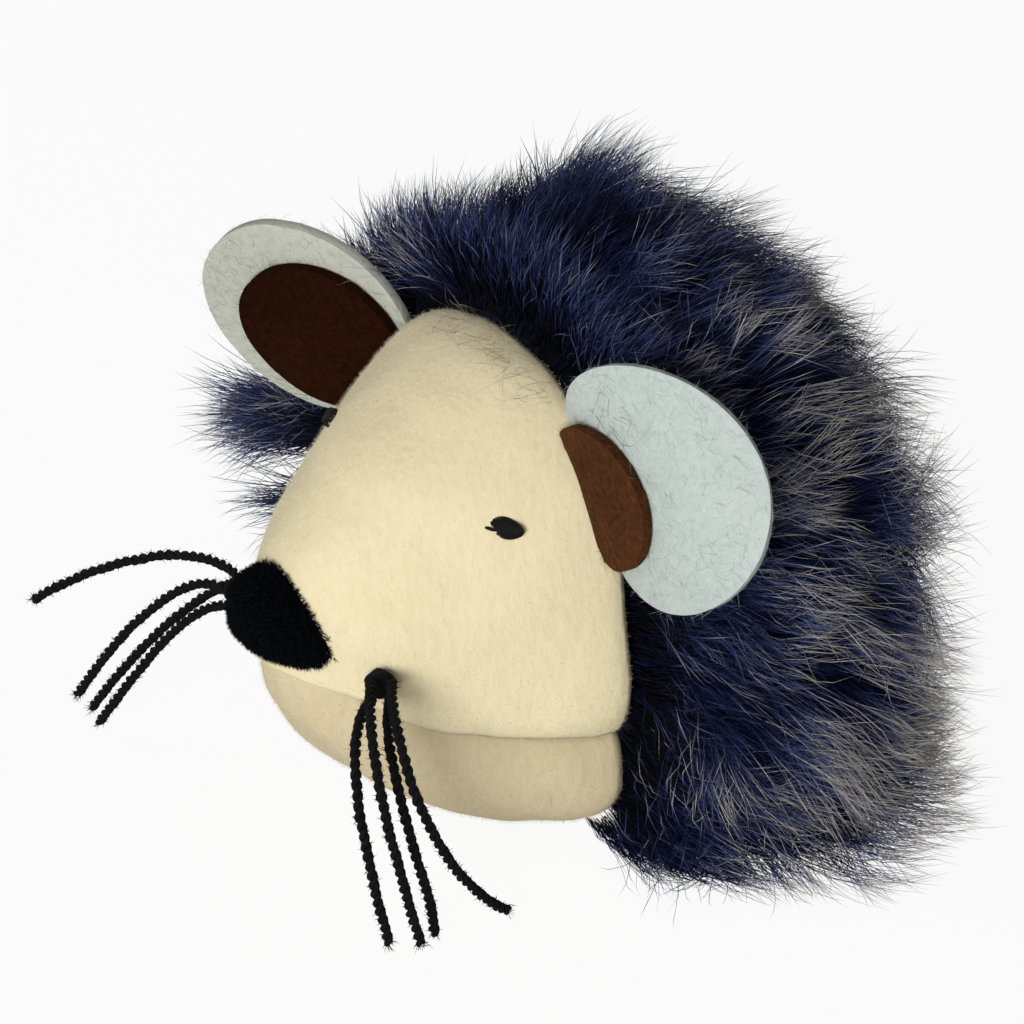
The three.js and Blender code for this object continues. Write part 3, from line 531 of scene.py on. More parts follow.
def hair(name, stops, spread, roughness, specular):
    """Hair coloured from root to tip, each strand shifted along that run by its own tone."""
    material, tree, shader = new_material(name, roughness, specular)
    strip = tree.nodes.new("ShaderNodeUVMap")
    strip.uv_map = HAIR_UV
    split = add_node(tree, "ShaderNodeSeparateXYZ", {"Vector": strip.outputs["UV"]})
    shift = add_math(tree, "MULTIPLY_ADD", split.outputs["X"], spread, -spread / 2)
    along = add_math(tree, "ADD", shift.outputs["Value"], split.outputs["Y"])
    along.use_clamp = True
    colour_by(tree, shader, along.outputs["Value"], stops)
    return material


def pile(name, root, middle, tip):
    stops = [(0.0, root), (0.5, middle), (1.0, tip)]
    return hair(name, stops, spread=0.4, roughness=0.9, specular=0.1)


def fibres(name, root, tip, specular=0.1):
    return hair(name, [(0.0, root), (1.0, tip)], spread=0.6, roughness=0.9, specular=specular)


def moulded(name, colour, darker, roughness, metallic=0.0, grain=900, stretch=(1, 1, 1)):
    """Plastic or metal with a slight mottle and fine tool marks."""
    material, tree, shader = new_material(name, roughness, specular=0.5, metallic=metallic)
    place = tree.nodes.new("ShaderNodeTexCoord").outputs["Object"]
    fine = noise(tree, place, grain, detail=3, stretch=stretch)
    colour_by(tree, shader, fine, list(zip(MOTTLE_RANGE, (darker, colour))))
    raise_by(tree, shader, fine, strength=0.15, distance=TOOL_MARK_HEIGHT)
    return material


FUR_SKIN = cloth("navy knit backing", ["03040a", "090c1c"], grain=900, roughness=0.9, bump=0.6)
UNDER_HAIR = hair(
    "navy underfur", [(0.0, "020308"), (0.5, "060918"), (0.8, "0d1230"), (1.0, "182042")],
    spread=0.4, roughness=0.7, specular=0.05)
FUR_HAIR = hair(
    "frosted navy guard hair",
    [(0.0, "020308"), (0.42, "0a0f28"), (0.62, "26315a"), (0.8, "565f80"), (1.0, "bab4a8")],
    spread=0.6, roughness=0.6, specular=0.08)
STRAY_HAIR = hair(
    "loose brown-grey hair", [(0.0, "554d45"), (0.6, "857d72"), (1.0, "aaa296")],
    spread=0.5, roughness=0.55, specular=0.2)
FACE_PLUSH = plush("cream plush", "ccc09c", "d1c5a2", "d5c9a7")
# The face's pile is the cream plush painted lighter: painted light that makes up for the shade on and under
# its hairs.
FACE_PILE_WITH_PAINTED_LIGHT = pile("cream pile with painted light", "e6dab6", "f1e6c4", "f8eed0")
# The chin's plush is a slightly beiger cream than the face's, and is also painted darker: painted shade
# under the jaw. Its pile is painted lighter than this plush, as painted light against the shade on and
# under its hairs.
CHIN_PLUSH_WITH_PAINTED_SHADE = plush("beige plush with painted shade", "b7a988", "bcae8e", "c1b494")
CHIN_PILE_WITH_PAINTED_LIGHT_AND_SHADE = pile("beige pile with painted light and shade", "cfc19f", "d8caa8", "dfd2b2")
NOSE_PLUSH = cloth(
    "black plush", ["010202", "030405"], grain=1200, roughness=0.9, bump=0.5, specular=0.02)
NOSE_PILE = hair(
    "black pile", [(0.0, "010202"), (0.6, "030506"), (1.0, "0c1014")],
    spread=0.6, roughness=0.9, specular=0.02)
PALE_FELT = felt("pale grey felt", "9ea7a3", "a8b1ac", "b1b9b2")
WARM_FELT = felt("greenish grey felt", "9c9e92", "a6a89d", "afb1a6")
BROWN_FELT = felt("brown felt", "2a1507", "43240e", "60381b", bump=0.6)
# The far ear's patch is the near one's brown felt painted darker: painted shade on the ear that faces away
# from the lamps.
SHADE_PAINTED_BROWN_FELT = felt("shade-painted brown felt", "120602", "1c0b04", "291207", bump=0.6, specular=0.02)
PALE_FIBRE = fibres("pale felt fibres", "a2aba7", "b4bcb6")
WARM_FIBRE = fibres("greenish felt fibres", "a0a297", "b2b4aa")
BROWN_FIBRE = fibres("brown felt fibres", "331a09", "6d4627")
# The far patch's fibres are painted darker in the same way, as painted shade.
SHADE_PAINTED_BROWN_FIBRE = fibres("shade-painted brown felt fibres", "1a0b05", "3a1e10", specular=0.02)
BLACK_CORD = cloth("black twisted cord", ["020203", "0b0b0d"], grain=3000, roughness=0.8, bump=0.6)
BLACK_FUZZ = hair(
    "black cord fuzz", [(0.0, "020203"), (1.0, "0f0f12")], spread=0.5, roughness=0.8, specular=0.15)
BLACK_THREAD = cloth("black stitching thread", ["020203", "0c0c0e"], grain=4000, roughness=0.6, bump=0.5)
BELLY_CLOTH = cloth(
    "woven belly cloth", ["23263a", "3c4058"], grain=2200, roughness=0.9, bump=0.8, stretch=(1, 0.25, 1))
FILLING = cloth(
    "white stuffing fibre", ["d5d2c8", "f1efe9"], grain=700, roughness=0.95, bump=0.9, sheen=0.2)
CASE_PLASTIC = moulded("moulded case plastic", "d9d5c9", "cbc7ba", roughness=0.5)
GEAR_PLASTIC = moulded("moulded gear plastic", "ebe8dd", "dcd8ca", roughness=0.4)
STEEL = moulded(
    "turned steel", "a5a9ae", "8b8f94", roughness=0.32, metallic=1.0, grain=1600, stretch=(1, 1, 0.1))
BRASS = moulded("pressed brass", "b99755", "a07f40", roughness=0.35, metallic=1.0, grain=1300)


# Whiskers: cords of two plies on the routes of the solids, measured from their knots

KNOT = {"left": (12.0, -31.6, 24.6), "right": (-12.0, -31.6, 24.8)}
WHISKER_DIAMETER = 1.25
WHISKER_PITCH = 2.2
WHISKER_STEP = 0.28
PLY_OFFSET = 0.22
PLY_RADIUS = 0.27
PLY_TIP = 0.55
PLY_SIDES = 7
FUZZ_HAIRS = 300
FRAYED_HAIRS = 24
FUZZ_RADIUS = 0.05
FUZZ_ABOVE_FLOOR = 0.15
KNOT_TURNS = ((0.2, 0.3), (1.3, -0.4), (2.3, 0.5), (0.8, 1.2))
KNOT_RADIUS = 0.95
KNOT_THREAD_RADIUS = 0.72
WHISKER_ROUTES = {
    "left_1": [
        (0.9, -1.8, -0.9), (2.6, -3.9, -0.7), (4.1, -5.6, -1), (5.5, -7, -1.7),
        (6.7, -8, -2.9), (7.7, -8.7, -4.4), (8.7, -9.2, -6.2), (9.4, -9.5, -8.2),
        (10.1, -9.5, -10.3), (10.6, -9.4, -12.6), (11, -9.2, -14.9), (11.2, -8.9, -17.2),
        (11.4, -8.5, -19.4), (11.5, -8, -21.5), (11.4, -7.6, -23.4)],
    "left_2": [
        (1.1, -1.9, 1.1), (3.3, -3.6, 1.3), (5.4, -5.1, 1), (7.4, -6.4, 0.2),
        (9.1, -7.4, -1), (10.6, -8.1, -2.5), (11.7, -8.5, -4.4), (12.6, -8.6, -6.6),
        (13.2, -8.5, -8.9), (13.6, -8.1, -11.3), (13.8, -7.6, -13.8), (13.8, -7, -16.3),
        (13.8, -6.4, -18.8), (13.7, -5.7, -21.1), (13.7, -5.1, -23.3)],
    "left_3": [
        (2, -0.2, -1), (4.1, -1.9, -1), (6, -3.3, -1.5), (7.7, -4.4, -2.4),
        (9.3, -5.1, -3.7), (10.5, -5.5, -5.4), (11.4, -5.6, -7.3), (12.1, -5.5, -9.4),
        (12.5, -5.2, -11.5), (12.8, -4.8, -13.6), (13, -4.3, -15.8), (13, -3.7, -17.9),
        (12.9, -3.2, -19.9), (12.7, -2.8, -21.8), (12.4, -2.4, -23.7)],
    "left_4": [
        (2.1, 0, 1.2), (4.7, -1.8, 1), (7, -3.2, 0.3), (9, -4.1, -0.9),
        (10.7, -4.7, -2.5), (12, -4.9, -4.5), (13.1, -4.7, -6.7), (13.9, -4.1, -9),
        (14.4, -3.2, -11.4), (14.7, -2.1, -13.7), (14.7, -0.7, -16), (14.6, 1, -18.2),
        (14.4, 2.7, -20.2), (14.1, 4.5, -22), (13.7, 6.4, -23.5)],
    "right_1": [
        (-1, -0.8, 2.3), (-3.2, -0.5, 2.6), (-5.3, -0.7, 2.7), (-7.4, -1.1, 2.6),
        (-9.3, -1.8, 2.4), (-11.2, -2.7, 2.1), (-13.1, -3.7, 1.6), (-14.8, -4.9, 0.9),
        (-16.6, -6.2, 0.2), (-18.2, -7.5, -0.7), (-19.9, -8.8, -1.6), (-21.4, -10, -2.7),
        (-23, -11, -3.8), (-24.5, -12, -5), (-26, -12.7, -6.3)],
    "right_2": [
        (-1.2, -1.7, 0.3), (-3.5, -1.6, 0.7), (-5.5, -1.9, 0.5), (-7.4, -2.5, -0.1),
        (-9.1, -3.3, -1.1), (-10.7, -4.2, -2.4), (-12.1, -5.1, -3.9), (-13.5, -6.1, -5.5),
        (-14.9, -6.9, -7.2), (-16.2, -7.6, -9), (-17.4, -8.3, -10.8), (-18.7, -8.8, -12.6),
        (-19.9, -9.3, -14.4), (-21.2, -9.6, -16.2), (-22.4, -9.9, -17.9)],
    "right_3": [
        (-2.3, 0.3, 0.4), (-4.6, 1.3, -0.2), (-6.7, 1.7, -1), (-8.7, 1.7, -2.2),
        (-10.5, 1.3, -3.5), (-12.2, 0.6, -5), (-13.8, -0.3, -6.6), (-15.3, -1.3, -8.3),
        (-16.7, -2.3, -10.1), (-18.1, -3.3, -12), (-19.4, -4.2, -13.9), (-20.7, -5, -15.8),
        (-22, -5.8, -17.8), (-23.3, -6.4, -19.7), (-24.6, -6.8, -21.6)],
    "right_4": [
        (-1.7, -0.5, -1.6), (-3.9, -0.6, -2), (-5.9, -0.8, -2.7), (-7.7, -1.2, -3.7),
        (-9.4, -1.7, -5), (-10.9, -2.3, -6.4), (-12.3, -2.9, -8), (-13.7, -3.6, -9.7),
        (-14.9, -4.3, -11.5), (-16.1, -5, -13.4), (-17.3, -5.7, -15.2), (-18.5, -6.3, -17.1),
        (-19.7, -6.8, -18.9), (-20.9, -7.2, -20.6), (-22.2, -7.4, -22.3)],
}


def smooth_line(points, step):
    """A smooth line through the points, cut into even steps of about the given length."""
    points = np.asarray(points, float)
    ends = np.vstack([2 * points[0] - points[1], points, 2 * points[-1] - points[-2]])
    s = np.linspace(0, 1, 16, endpoint=False)[:, None]
    fine = []
    for a, b, c, d in zip(ends, ends[1:], ends[2:], ends[3:]):
        square = 2 * a - 5 * b + 4 * c - d
        cube = 3 * b - a - 3 * c + d
        fine.append(0.5 * (2 * b + (c - a) * s + square * s ** 2 + cube * s ** 3))
    fine = np.vstack(fine + [points[-1:]])
    run = run_along(fine)
    stops = np.linspace(0, run[-1], max(int(round(run[-1] / step)), 2) + 1)
    return np.stack([np.interp(stops, run, fine[:, i]) for i in range(3)], 1), run[-1]


def carried_sides(line):
    """Two side directions along a line that turn as little as they can."""
    tangent = unit(np.gradient(line, axis=0))
    side = np.zeros_like(line)
    side[0] = unit(np.cross(tangent[0], (0.3, 0.2, 0.9)))
    for i in range(1, len(line)):
        side[i] = along_surface(side[i - 1], tangent[i])
    return side, np.cross(tangent, side)


def tube_arrays(line, radii, sides):
    """Points and faces of a closed tube along a line."""
    side, other = carried_sides(line)
    angle = (np.arange(sides) * 2 * np.pi / sides)[:, None]
    ring = line[:, None] + radii[:, None, None] * (
        np.cos(angle) * side[:, None] + np.sin(angle) * other[:, None])
    points = np.vstack([ring.reshape(-1, 3), line[:1], line[-1:]])
    start, end = len(points) - 2, len(points) - 1
    last = (len(line) - 1) * sides
    pairs = [(i, (i + 1) % sides) for i in range(sides)]
    faces = []
    for row in range(0, last, sides):
        faces += [(row + i, row + j, row + sides + j, row + sides + i) for i, j in pairs]
    for i, j in pairs:
        faces += [(start, j, i), (end, last + i, last + j)]
    return points, faces


def mesh_piece(name, parts):
    """One piece out of several lists of points and faces, in millimetres."""
    points, faces, count = [], [], 0
    for part_points, part_faces in parts:
        points.append(part_points)
        faces += [tuple(i + count for i in face) for face in part_faces]
        count += len(part_points)
    mesh = bpy.data.meshes.new(name)
    mesh.from_pydata((np.vstack(points) * MM).tolist(), [], faces)
    mesh.update()
    piece = link_piece(name, mesh)
    smooth(piece)
    return piece


def twisted_cord(name, line, diameter, pitch, plies=2):
    """Plies wound round a line, drawn in at the tip."""
    side, other = carried_sides(line)
    run = run_along(line)
    parts = []
    for ply in range(plies):
        turn = 2 * np.pi * (run / pitch + ply / plies)
        away = diameter * PLY_OFFSET * (1 + 0.12 * np.sin(run * 1.7 + ply))
        wound = line + away[:, None] * (np.cos(turn)[:, None] * side + np.sin(turn)[:, None] * other)
        radii = diameter * PLY_RADIUS * (1 + 0.06 * np.sin(run * 2.9 + 2 * ply))
        radii[-1] *= PLY_TIP
        parts.append(tube_arrays(wound, radii, PLY_SIDES))
    return mesh_piece(name, parts)


def cord_fuzz(name, cord, line):
    """Fine fibres that stand off a cord, and the frayed ones at its tip."""
    places, facing = sample(cord, FUZZ_HAIRS)
    paths = short_paths(places, facing, between(0.25, 0.55, FUZZ_HAIRS), stray=0.7, steps=3)
    ends = line[-2] + scatter(0.2, FRAYED_HAIRS, 3)
    heading = unit(line[-1] - line[-4] + scatter(0.5, FRAYED_HAIRS, 3))
    frayed = short_paths(ends, heading, between(0.7, 1.3, FRAYED_HAIRS), stray=0.2, steps=3)
    paths = keep_above(np.concatenate([paths, frayed]), FUZZ_ABOVE_FLOOR)
    count = len(paths)
    fuzz = strands(name, paths, np.full(count, FUZZ_RADIUS), np.array([1, 0.7]), rng.random(count))
    finish_piece(fuzz, BLACK_FUZZ, "black_cord")


def knot_of_thread(side):
    """A knot of four thread turns pulled tight against the cheek."""
    centre = np.array(KNOT[side])
    angle = np.linspace(0, 2 * np.pi, 25)
    parts = []
    for turn, (tilt, lean) in enumerate(KNOT_TURNS):
        reach = KNOT_RADIUS + 0.08 * np.sin(2 * angle + turn)
        a = np.array((math.cos(tilt), math.sin(tilt) * math.cos(lean), math.sin(lean)))
        b = unit(np.cross(unit(np.array((0.3, 0.7, 0.5 + lean))), a))
        loop = centre + reach[:, None] * (np.cos(angle)[:, None] * a + np.sin(angle)[:, None] * b)
        parts.append(tube_arrays(loop, np.full(len(loop), KNOT_THREAD_RADIUS), 8))
    knot = mesh_piece(f"thread_knot_{side}", parts)
    return finish_piece(knot, BLACK_CORD, "black_thread", f"whisker_knot_{side}")


def make_whiskers():
    for side in ("left", "right"):
        knot = knot_of_thread(side)
        for number in (1, 2, 3, 4):
            route = np.array(WHISKER_ROUTES[f"{side}_{number}"]) + np.array(KNOT[side])
            line, length = smooth_line(route, WHISKER_STEP)
            piece = twisted_cord(f"whisker_cord_{side}_{number}", line, WHISKER_DIAMETER, WHISKER_PITCH)
            finish_piece(piece, BLACK_CORD, "black_cord", f"whisker_{side}_{number}")
            cord_fuzz(f"whisker_fuzz_{side}_{number}", piece, line)


make_whiskers()


# Face and chin: two plush panels, sewn along the jaw and the neck, then puffed out by the stuffing

PILE_ROOM = 0.35
PLUSH_THICKNESS = 1.6
CHIN_REACH = 0.978
CHIN_ABOVE_FLOOR = 0.7
CHEEK_PLUMPNESS = 1.5
SEAM_LEVEL = ([0, 0.1, 0.25, 0.4, 0.55, 0.68, 0.8, 1], [14.7, 14.8, 15.1, 15.7, 16.9, 19.0, 21.6, 24.0])
SEAM_DEPTH = ([0, 0.15, 0.45, 0.62, 0.8], [0.8, 1, 1, 0.4, 0.15])
FAR_CHEEK = ([20, 29, 35, 43, 49, 56], [0.94, 0.95, 0.93, 0.84, 0.88, 0.95])
JAW_SEAM_WIDTH = 1.6
NECK_SEAM_WIDTH = 1.4
NECK_SEAM_DEPTH = 0.7
PUFF_STEPS = 20


def sewn_seam(share):
    """The height of the jaw seam as sewn: it sags under the cheek and rises to the nose."""
    return np.interp(share, *SEAM_LEVEL)


def sewn_angle(share):
    _, level, _, drop, lower = head_ring(share)
    ratio = (level - sewn_seam(share)) / np.maximum(drop, 1e-6)
    return np.arcsin(np.clip(ratio, 0, 1) ** (lower / 2))


def far_cheek(level):
    """How much narrower the far cheek is sewn at a height, as a share of its width."""
    return np.interp(level, *FAR_CHEEK)


def plump(points, share, level, spread):
    """Fills the cheeks out near the neck, round the given height."""
    fill = bell(points[:, 2], level, spread) * bell(HEAD_LENGTH * share, 0, 9)
    points[:, 0] += np.sign(points[:, 0]) * CHEEK_PLUMPNESS * fill
    return points


def stuffing_middle(y, height):
    """The places on the head's middle line that its panels face away from."""
    return np.stack([np.zeros(len(y)), y, np.full(len(y), height)], -1)


def draw_in(points, share, from_seam, seam_depth):
    """Draws a panel in for its pile, and deeper beside its seams."""
    inward = unit(stuffing_middle(np.maximum(points[:, 1] + 3, -34), 25.0) - points)
    jaw = seam_depth * np.exp(-(np.maximum(from_seam, 0) / JAW_SEAM_WIDTH) ** 1.3)
    jaw *= np.interp(share, *SEAM_DEPTH)
    neck = NECK_SEAM_DEPTH * np.exp(-HEAD_LENGTH * share / NECK_SEAM_WIDTH)
    return points + inward * (jaw + neck + PILE_ROOM)[:, None]


def face_place(u, v):
    share = np.sin(v * np.pi / 2)
    below = sewn_angle(share)
    points = head_points(share, -below + u * (np.pi + 2 * below))
    points[:, 0] *= np.where(points[:, 0] < 0, far_cheek(points[:, 2]), 1)
    points = plump(points, share, level=22, spread=6.5)
    return draw_in(points, share, points[:, 2] - sewn_seam(share), seam_depth=1.5)


def chin_place(u, v):
    share = CHIN_REACH * np.sin(v * np.pi / 2)
    below = sewn_angle(share)
    points = head_points(share, np.pi + below + u * (np.pi - 2 * below))
    keep_above(points, CHIN_ABOVE_FLOOR)
    below_seam = sewn_seam(share) - points[:, 2]
    far = 1 - (1 - far_cheek(points[:, 2])) * np.exp(-np.maximum(below_seam, 0) / 2.5)
    points[:, 0] *= np.where(points[:, 0] < 0, far, 1)
    points = plump(points, share, level=6, spread=5)
    front = bell(share, 0.45, 0.25) * fade(below_seam, 0, 5)
    points += front[:, None] * np.where(points[:, :1] < 0, (-1.2, -0.5, -0.4), (0.2, -0.2, -0.1))
    keep_above(points, CHIN_ABOVE_FLOOR)
    return draw_in(points, share, below_seam, seam_depth=2.2)


def open_edge(mesh):
    """The points on the edges that only one face has."""
    uses = {}
    for face in mesh.polygons:
        for key in face.edge_keys:
            uses[key] = uses.get(key, 0) + 1
    return sorted({point for key, count in uses.items() if count == 1 for point in key})


def puff(piece, pressure, cap):
    """Blows a sewn panel up softly with its open edges held, as stuffing does."""
    only(piece)
    before = vertex_array(piece)
    modifier = piece.modifiers.new("puff", "CLOTH")
    settings = modifier.settings
    settings.quality = 6
    settings.mass = 0.2
    settings.tension_stiffness = 20
    settings.compression_stiffness = 12
    settings.shear_stiffness = 6
    settings.bending_stiffness = 0.4
    settings.use_pressure = True
    settings.uniform_pressure_force = pressure
    settings.effector_weights.gravity = 0
    rim = open_edge(piece.data)
    if rim:
        held = piece.vertex_groups.new(name="sewn edge")
        held.add(rim, 1.0, "REPLACE")
        settings.vertex_group_mass = held.name
    modifier.collision_settings.use_collision = False
    modifier.point_cache.frame_start = 1
    modifier.point_cache.frame_end = PUFF_STEPS
    scene = bpy.context.scene
    for step in range(1, PUFF_STEPS + 1):
        scene.frame_set(step)
    bpy.ops.object.modifier_apply(modifier="puff")
    move = vertex_array(piece) - before
    size = np.linalg.norm(move, axis=1, keepdims=True)
    place_vertices(piece, before + move * np.minimum(1, cap * MM / np.maximum(size, 1e-9)))
    piece.vertex_groups.clear()
    scene.frame_set(1)


def plush_panel(name, columns, rows, place, middle, lumps, material, slot, node):
    panel = patch(name, columns, rows, place)
    join_points(panel)
    face_away_from(panel, middle)
    ripple(panel, strength=0.8, size=lumps)
    puff(panel, pressure=3.0, cap=0.5)
    thicken(panel, PLUSH_THICKNESS)
    smooth(panel)
    finish_piece(panel, material, slot, node)
    return panel


def outer_side(points, normals):
    """True for the places of a panel that look away from the stuffing."""
    middle = stuffing_middle(np.maximum(points[:, 1], -30), 27.0)
    return ((points - middle) * normals).sum(1) > 0


def panel_pile(panel, name, count, material, slot):
    """Short pile that stands on a plush panel and leans down and back a little."""
    nap(
        panel, name, count, material, slot, length=(0.3, 0.55), radius=(0.011, 0.017), stray=0.35,
        steps=2, lie=(0.0, 0.4, -0.6), mess=0.6, lean=0.4, keep=outer_side)


def make_face():
    face = plush_panel(
        "plush_face", columns=96, rows=72, place=face_place, middle=(0, -20, 28), lumps=9,
        material=FACE_PLUSH, slot="cream_plush", node="face_panel")
    chin = plush_panel(
        "plush_chin", columns=80, rows=48, place=chin_place, middle=(0, -20, 20), lumps=8,
        material=CHIN_PLUSH_WITH_PAINTED_SHADE, slot="beige_plush", node="chin_panel")
    panel_pile(face, "face_pile", 18000, FACE_PILE_WITH_PAINTED_LIGHT, "cream_plush")
    panel_pile(chin, "chin_pile", 10000, CHIN_PILE_WITH_PAINTED_LIGHT_AND_SHADE, "beige_plush")


make_face()


# Nose: a stuffed cap of black plush, wide at the jaw seam and narrow at the top

NOSE_MIDDLE = np.array((0.0, -35.9, 29.9))
NOSE_HALF_WIDTH = 6.5
NOSE_NARROWING = 1.9
NOSE_HALF_DEPTH = 4.9
NOSE_WRAP = 2.9
NOSE_ROUNDNESS = {"upper": 2.2, "lower": 4.0}


def nose_place(u, v):
    """A ball flattened below, narrowed above and wrapped round the muzzle."""
    turn, fall = 2 * np.pi * u, np.pi * v
    x, y, z = np.sin(fall) * np.cos(turn), np.sin(fall) * np.sin(turn), np.cos(fall)
    bend = np.where(z < 0, NOSE_ROUNDNESS["lower"], NOSE_ROUNDNESS["upper"])
    flat = np.hypot(x, z) / np.maximum((np.abs(x) ** bend + np.abs(z) ** bend) ** (1 / bend), 1e-9)
    x, z = x * flat, z * flat
    width = NOSE_HALF_WIDTH - NOSE_NARROWING * z
    points = np.stack([x * width, y * NOSE_HALF_DEPTH, z * NOSE_HALF_DEPTH], -1)
    points[:, 1] += NOSE_WRAP * fade(z, 0.2, -0.8) * np.abs(x) ** 2
    return points + NOSE_MIDDLE


def make_nose():
    nose = patch("plush_nose", columns=48, rows=32, place=nose_place)
    join_points(nose)
    face_away_from(nose, NOSE_MIDDLE)
    ripple(nose, strength=0.5, size=4)
    puff(nose, pressure=2.0, cap=0.3)
    smooth(nose)
    finish_piece(nose, NOSE_PLUSH, "black_plush", "nose")
    nap(
        nose, "nose_pile", 6000, NOSE_PILE, "black_plush", length=(0.45, 0.95), radius=(0.055, 0.085),
        stray=0.7, steps=3, lie=(0.0, 0.3, -0.6), mess=0.6, lean=0.6,
        keep=lambda points, normals: ~inside_head(points, grow=-0.5))


make_nose()


# Eyes: satin stitches side by side and a thinner one for the tail, at places ahead of the neck and up

EYES = (("left", 1, 11.5, 12.3), ("right", -1, 15.7, 17.1))
STITCH_RADIUS = 0.26
TAIL_RADIUS = 0.18
STITCHES = 9
STITCH_ROOT = 0.7
STITCH_RISE = 0.5


def eye_stitch(sign, places, radius):
    """One stitch that rises out of the cheek and sinks into it again."""
    line = []
    for forward, up, share in places:
        rise = (STITCH_RISE + 2 * radius) * (1 - share * share) ** 0.5
        out = head_side(forward, up) - STITCH_ROOT + rise
        if sign < 0:
            out *= far_cheek(HEAD_LEVEL + up)
        line.append((sign * out, NECK_Y - forward, HEAD_LEVEL + up))
    return tube_arrays(np.array(line), np.full(len(line), radius), 7)


def make_eyes():
    steps = np.linspace(-1, 1, 7)
    for side, sign, forward, up in EYES:
        parts = []
        for along in np.linspace(-1, 1, STITCHES):
            half = math.sqrt(1 - (0.85 * along) ** 2)
            ahead = forward - 0.8 + 0.9 * along
            stitch = [(ahead + 0.15 * s, up + half * s, s) for s in steps]
            parts.append(eye_stitch(sign, stitch, STITCH_RADIUS))
        tail = [(forward - 0.1 + 0.5 * (s + 1), up + 0.1, s) for s in steps]
        parts.append(eye_stitch(sign, tail, TAIL_RADIUS))
        eye = mesh_piece(f"stitched_eye_{side}", parts)
        finish_piece(eye, BLACK_THREAD, "black_thread", f"eye_{side}")


make_eyes()


# Ears: felt discs cut off along the root and bent about it, each with a brown patch in front.
# Angles are in degrees. The lower rims and the patches' cuts are shares of the full disc.

FELT = 1.2
EAR_ROOT_TOP = (21.5, -1.8)
EAR_ROOT_BOTTOM = (7.5, 1.1)
EAR_RADIUS = 13.5
EAR_PATCH_ROOT = 13.6
EAR_CLEARANCE = 0.8
EAR_RIM = 0.985
EAR_SOFT_EDGE = 0.3
EARS = {
    "left": {
        "sign": 1, "lift": 25, "root": -20, "tip": 40, "shift": (0, 0, 0), "lower_rim": 1.0,
        "patch": 8.0, "patch_lower_rim": 1.0, "patch_cut": 0.88},
    "right": {
        "sign": -1, "lift": 33, "root": -31, "tip": -27, "shift": (0.3, 1, 0.5), "lower_rim": 0.86,
        "patch": 10.4, "patch_lower_rim": 0.8, "patch_cut": 1.0},
}
EAR_LOOKS = {
    "left": (PALE_FELT, PALE_FIBRE, BROWN_FELT, BROWN_FIBRE),
    # The far ear's patch and its fibres carry painted shade.
    "right": (WARM_FELT, WARM_FIBRE, SHADE_PAINTED_BROWN_FELT, SHADE_PAINTED_BROWN_FIBRE),
}


def disc_outline(radius, chord):
    """How far from the root's chord a disc's centre and its far rim lie."""
    centre = math.sqrt(radius ** 2 - chord ** 2 / 4)
    return centre, centre + radius


class Ear:
    """One ear's form: where a felt layer lies at a place across and along it."""

    def __init__(self, sign, lift, root, tip, shift):
        self.sign = sign
        top = self.root_end(*EAR_ROOT_TOP)
        bottom = self.root_end(*EAR_ROOT_BOTTOM)
        self.chord = np.linalg.norm(top - bottom)
        self.along = (top - bottom) / self.chord
        self.middle = (top + bottom) / 2 + np.array(shift)
        lift = math.radians(lift)
        self.outward = np.array((sign * math.cos(lift), 0, math.sin(lift)))
        self.root = math.radians(root)
        _, reach = disc_outline(EAR_RADIUS, self.chord)
        self.bend = (math.radians(tip) - self.root) / reach

    def root_end(self, up, outside):
        return np.array((self.sign * (head_side(0, up) + outside), 0, HEAD_LEVEL + up))

    def bent(self, run):
        """The felt's turn after a run from the root, and how far out and behind it is there."""
        turn = self.root + self.bend * run
        out = (np.sin(turn) - math.sin(self.root)) / self.bend
        behind = (math.cos(self.root) - np.cos(turn)) / self.bend
        return turn, out, behind

    def layer(self, radius, chord, stand, lower_rim, cut):
        """Lays shares across and along onto a felt layer that stands in front of the ear's back."""
        centre, reach = disc_outline(radius, chord)

        def place(u, v):
            run = reach * np.sin(v * np.pi / 2 * EAR_RIM)
            half = np.sqrt(np.maximum(radius ** 2 - (run - centre) ** 2, 0))
            across = (2 * u - 1) * half
            across = np.where(across < 0, across * lower_rim, across)
            return self.points(across, run * cut, stand)
        return place

    def points(self, across, run, stand):
        turn, out, behind = self.bent(run)
        facing = self.outward * np.sin(turn)[:, None] - BACKWARD * np.cos(turn)[:, None]
        back = BACKWARD * (NECK_Y + behind)[:, None]
        in_front = facing * np.broadcast_to(stand, run.shape)[:, None]
        return self.middle + self.outward * out[:, None] + back + self.along * across[:, None] + in_front

    def push_behind(self, points):
        """Moves hair that would cross the ear to just behind it."""
        from_root = points - self.middle
        out = from_root @ self.outward
        across = from_root @ self.along
        radius = EAR_RADIUS + EAR_CLEARANCE
        centre, reach = disc_outline(radius, self.chord)
        run = np.linspace(0, reach, 60)
        _, run_out, run_behind = self.bent(run)
        here = np.interp(out, run_out, run, left=-1, right=99)
        half = np.sqrt(np.maximum(radius ** 2 - (here - centre) ** 2, 0))
        limit = NECK_Y + np.interp(out, run_out, run_behind)
        crosses = (here >= 0) & (here <= reach) & (np.abs(across) < half) & (points[:, 1] < limit)
        moved = points.copy()
        moved[crosses, 1] = limit[crosses]
        return moved


def felt_piece(name, ear, radius, chord, stand, lower_rim, cut, material, slot, node):
    piece = patch(name, columns=40, rows=40, place=ear.layer(radius, chord, stand, lower_rim, cut))
    ripple(piece, strength=0.35, size=6)
    thicken(piece, FELT, 0)
    apply_modifier(
        piece, "BEVEL", "soft cut edge", width=EAR_SOFT_EDGE * MM, segments=2, limit_method="ANGLE")
    smooth(piece)
    finish_piece(piece, material, slot, node)
    return piece


def felt_fibres(piece, name, count, material, slot):
    """Loose fibres that lie every way on a felt piece."""
    nap(
        piece, name, count, material, slot, length=(0.5, 1.1), radius=(0.012, 0.02), stray=0.4,
        steps=3, lie=(0, 0, 0), mess=1, lean=4.5)


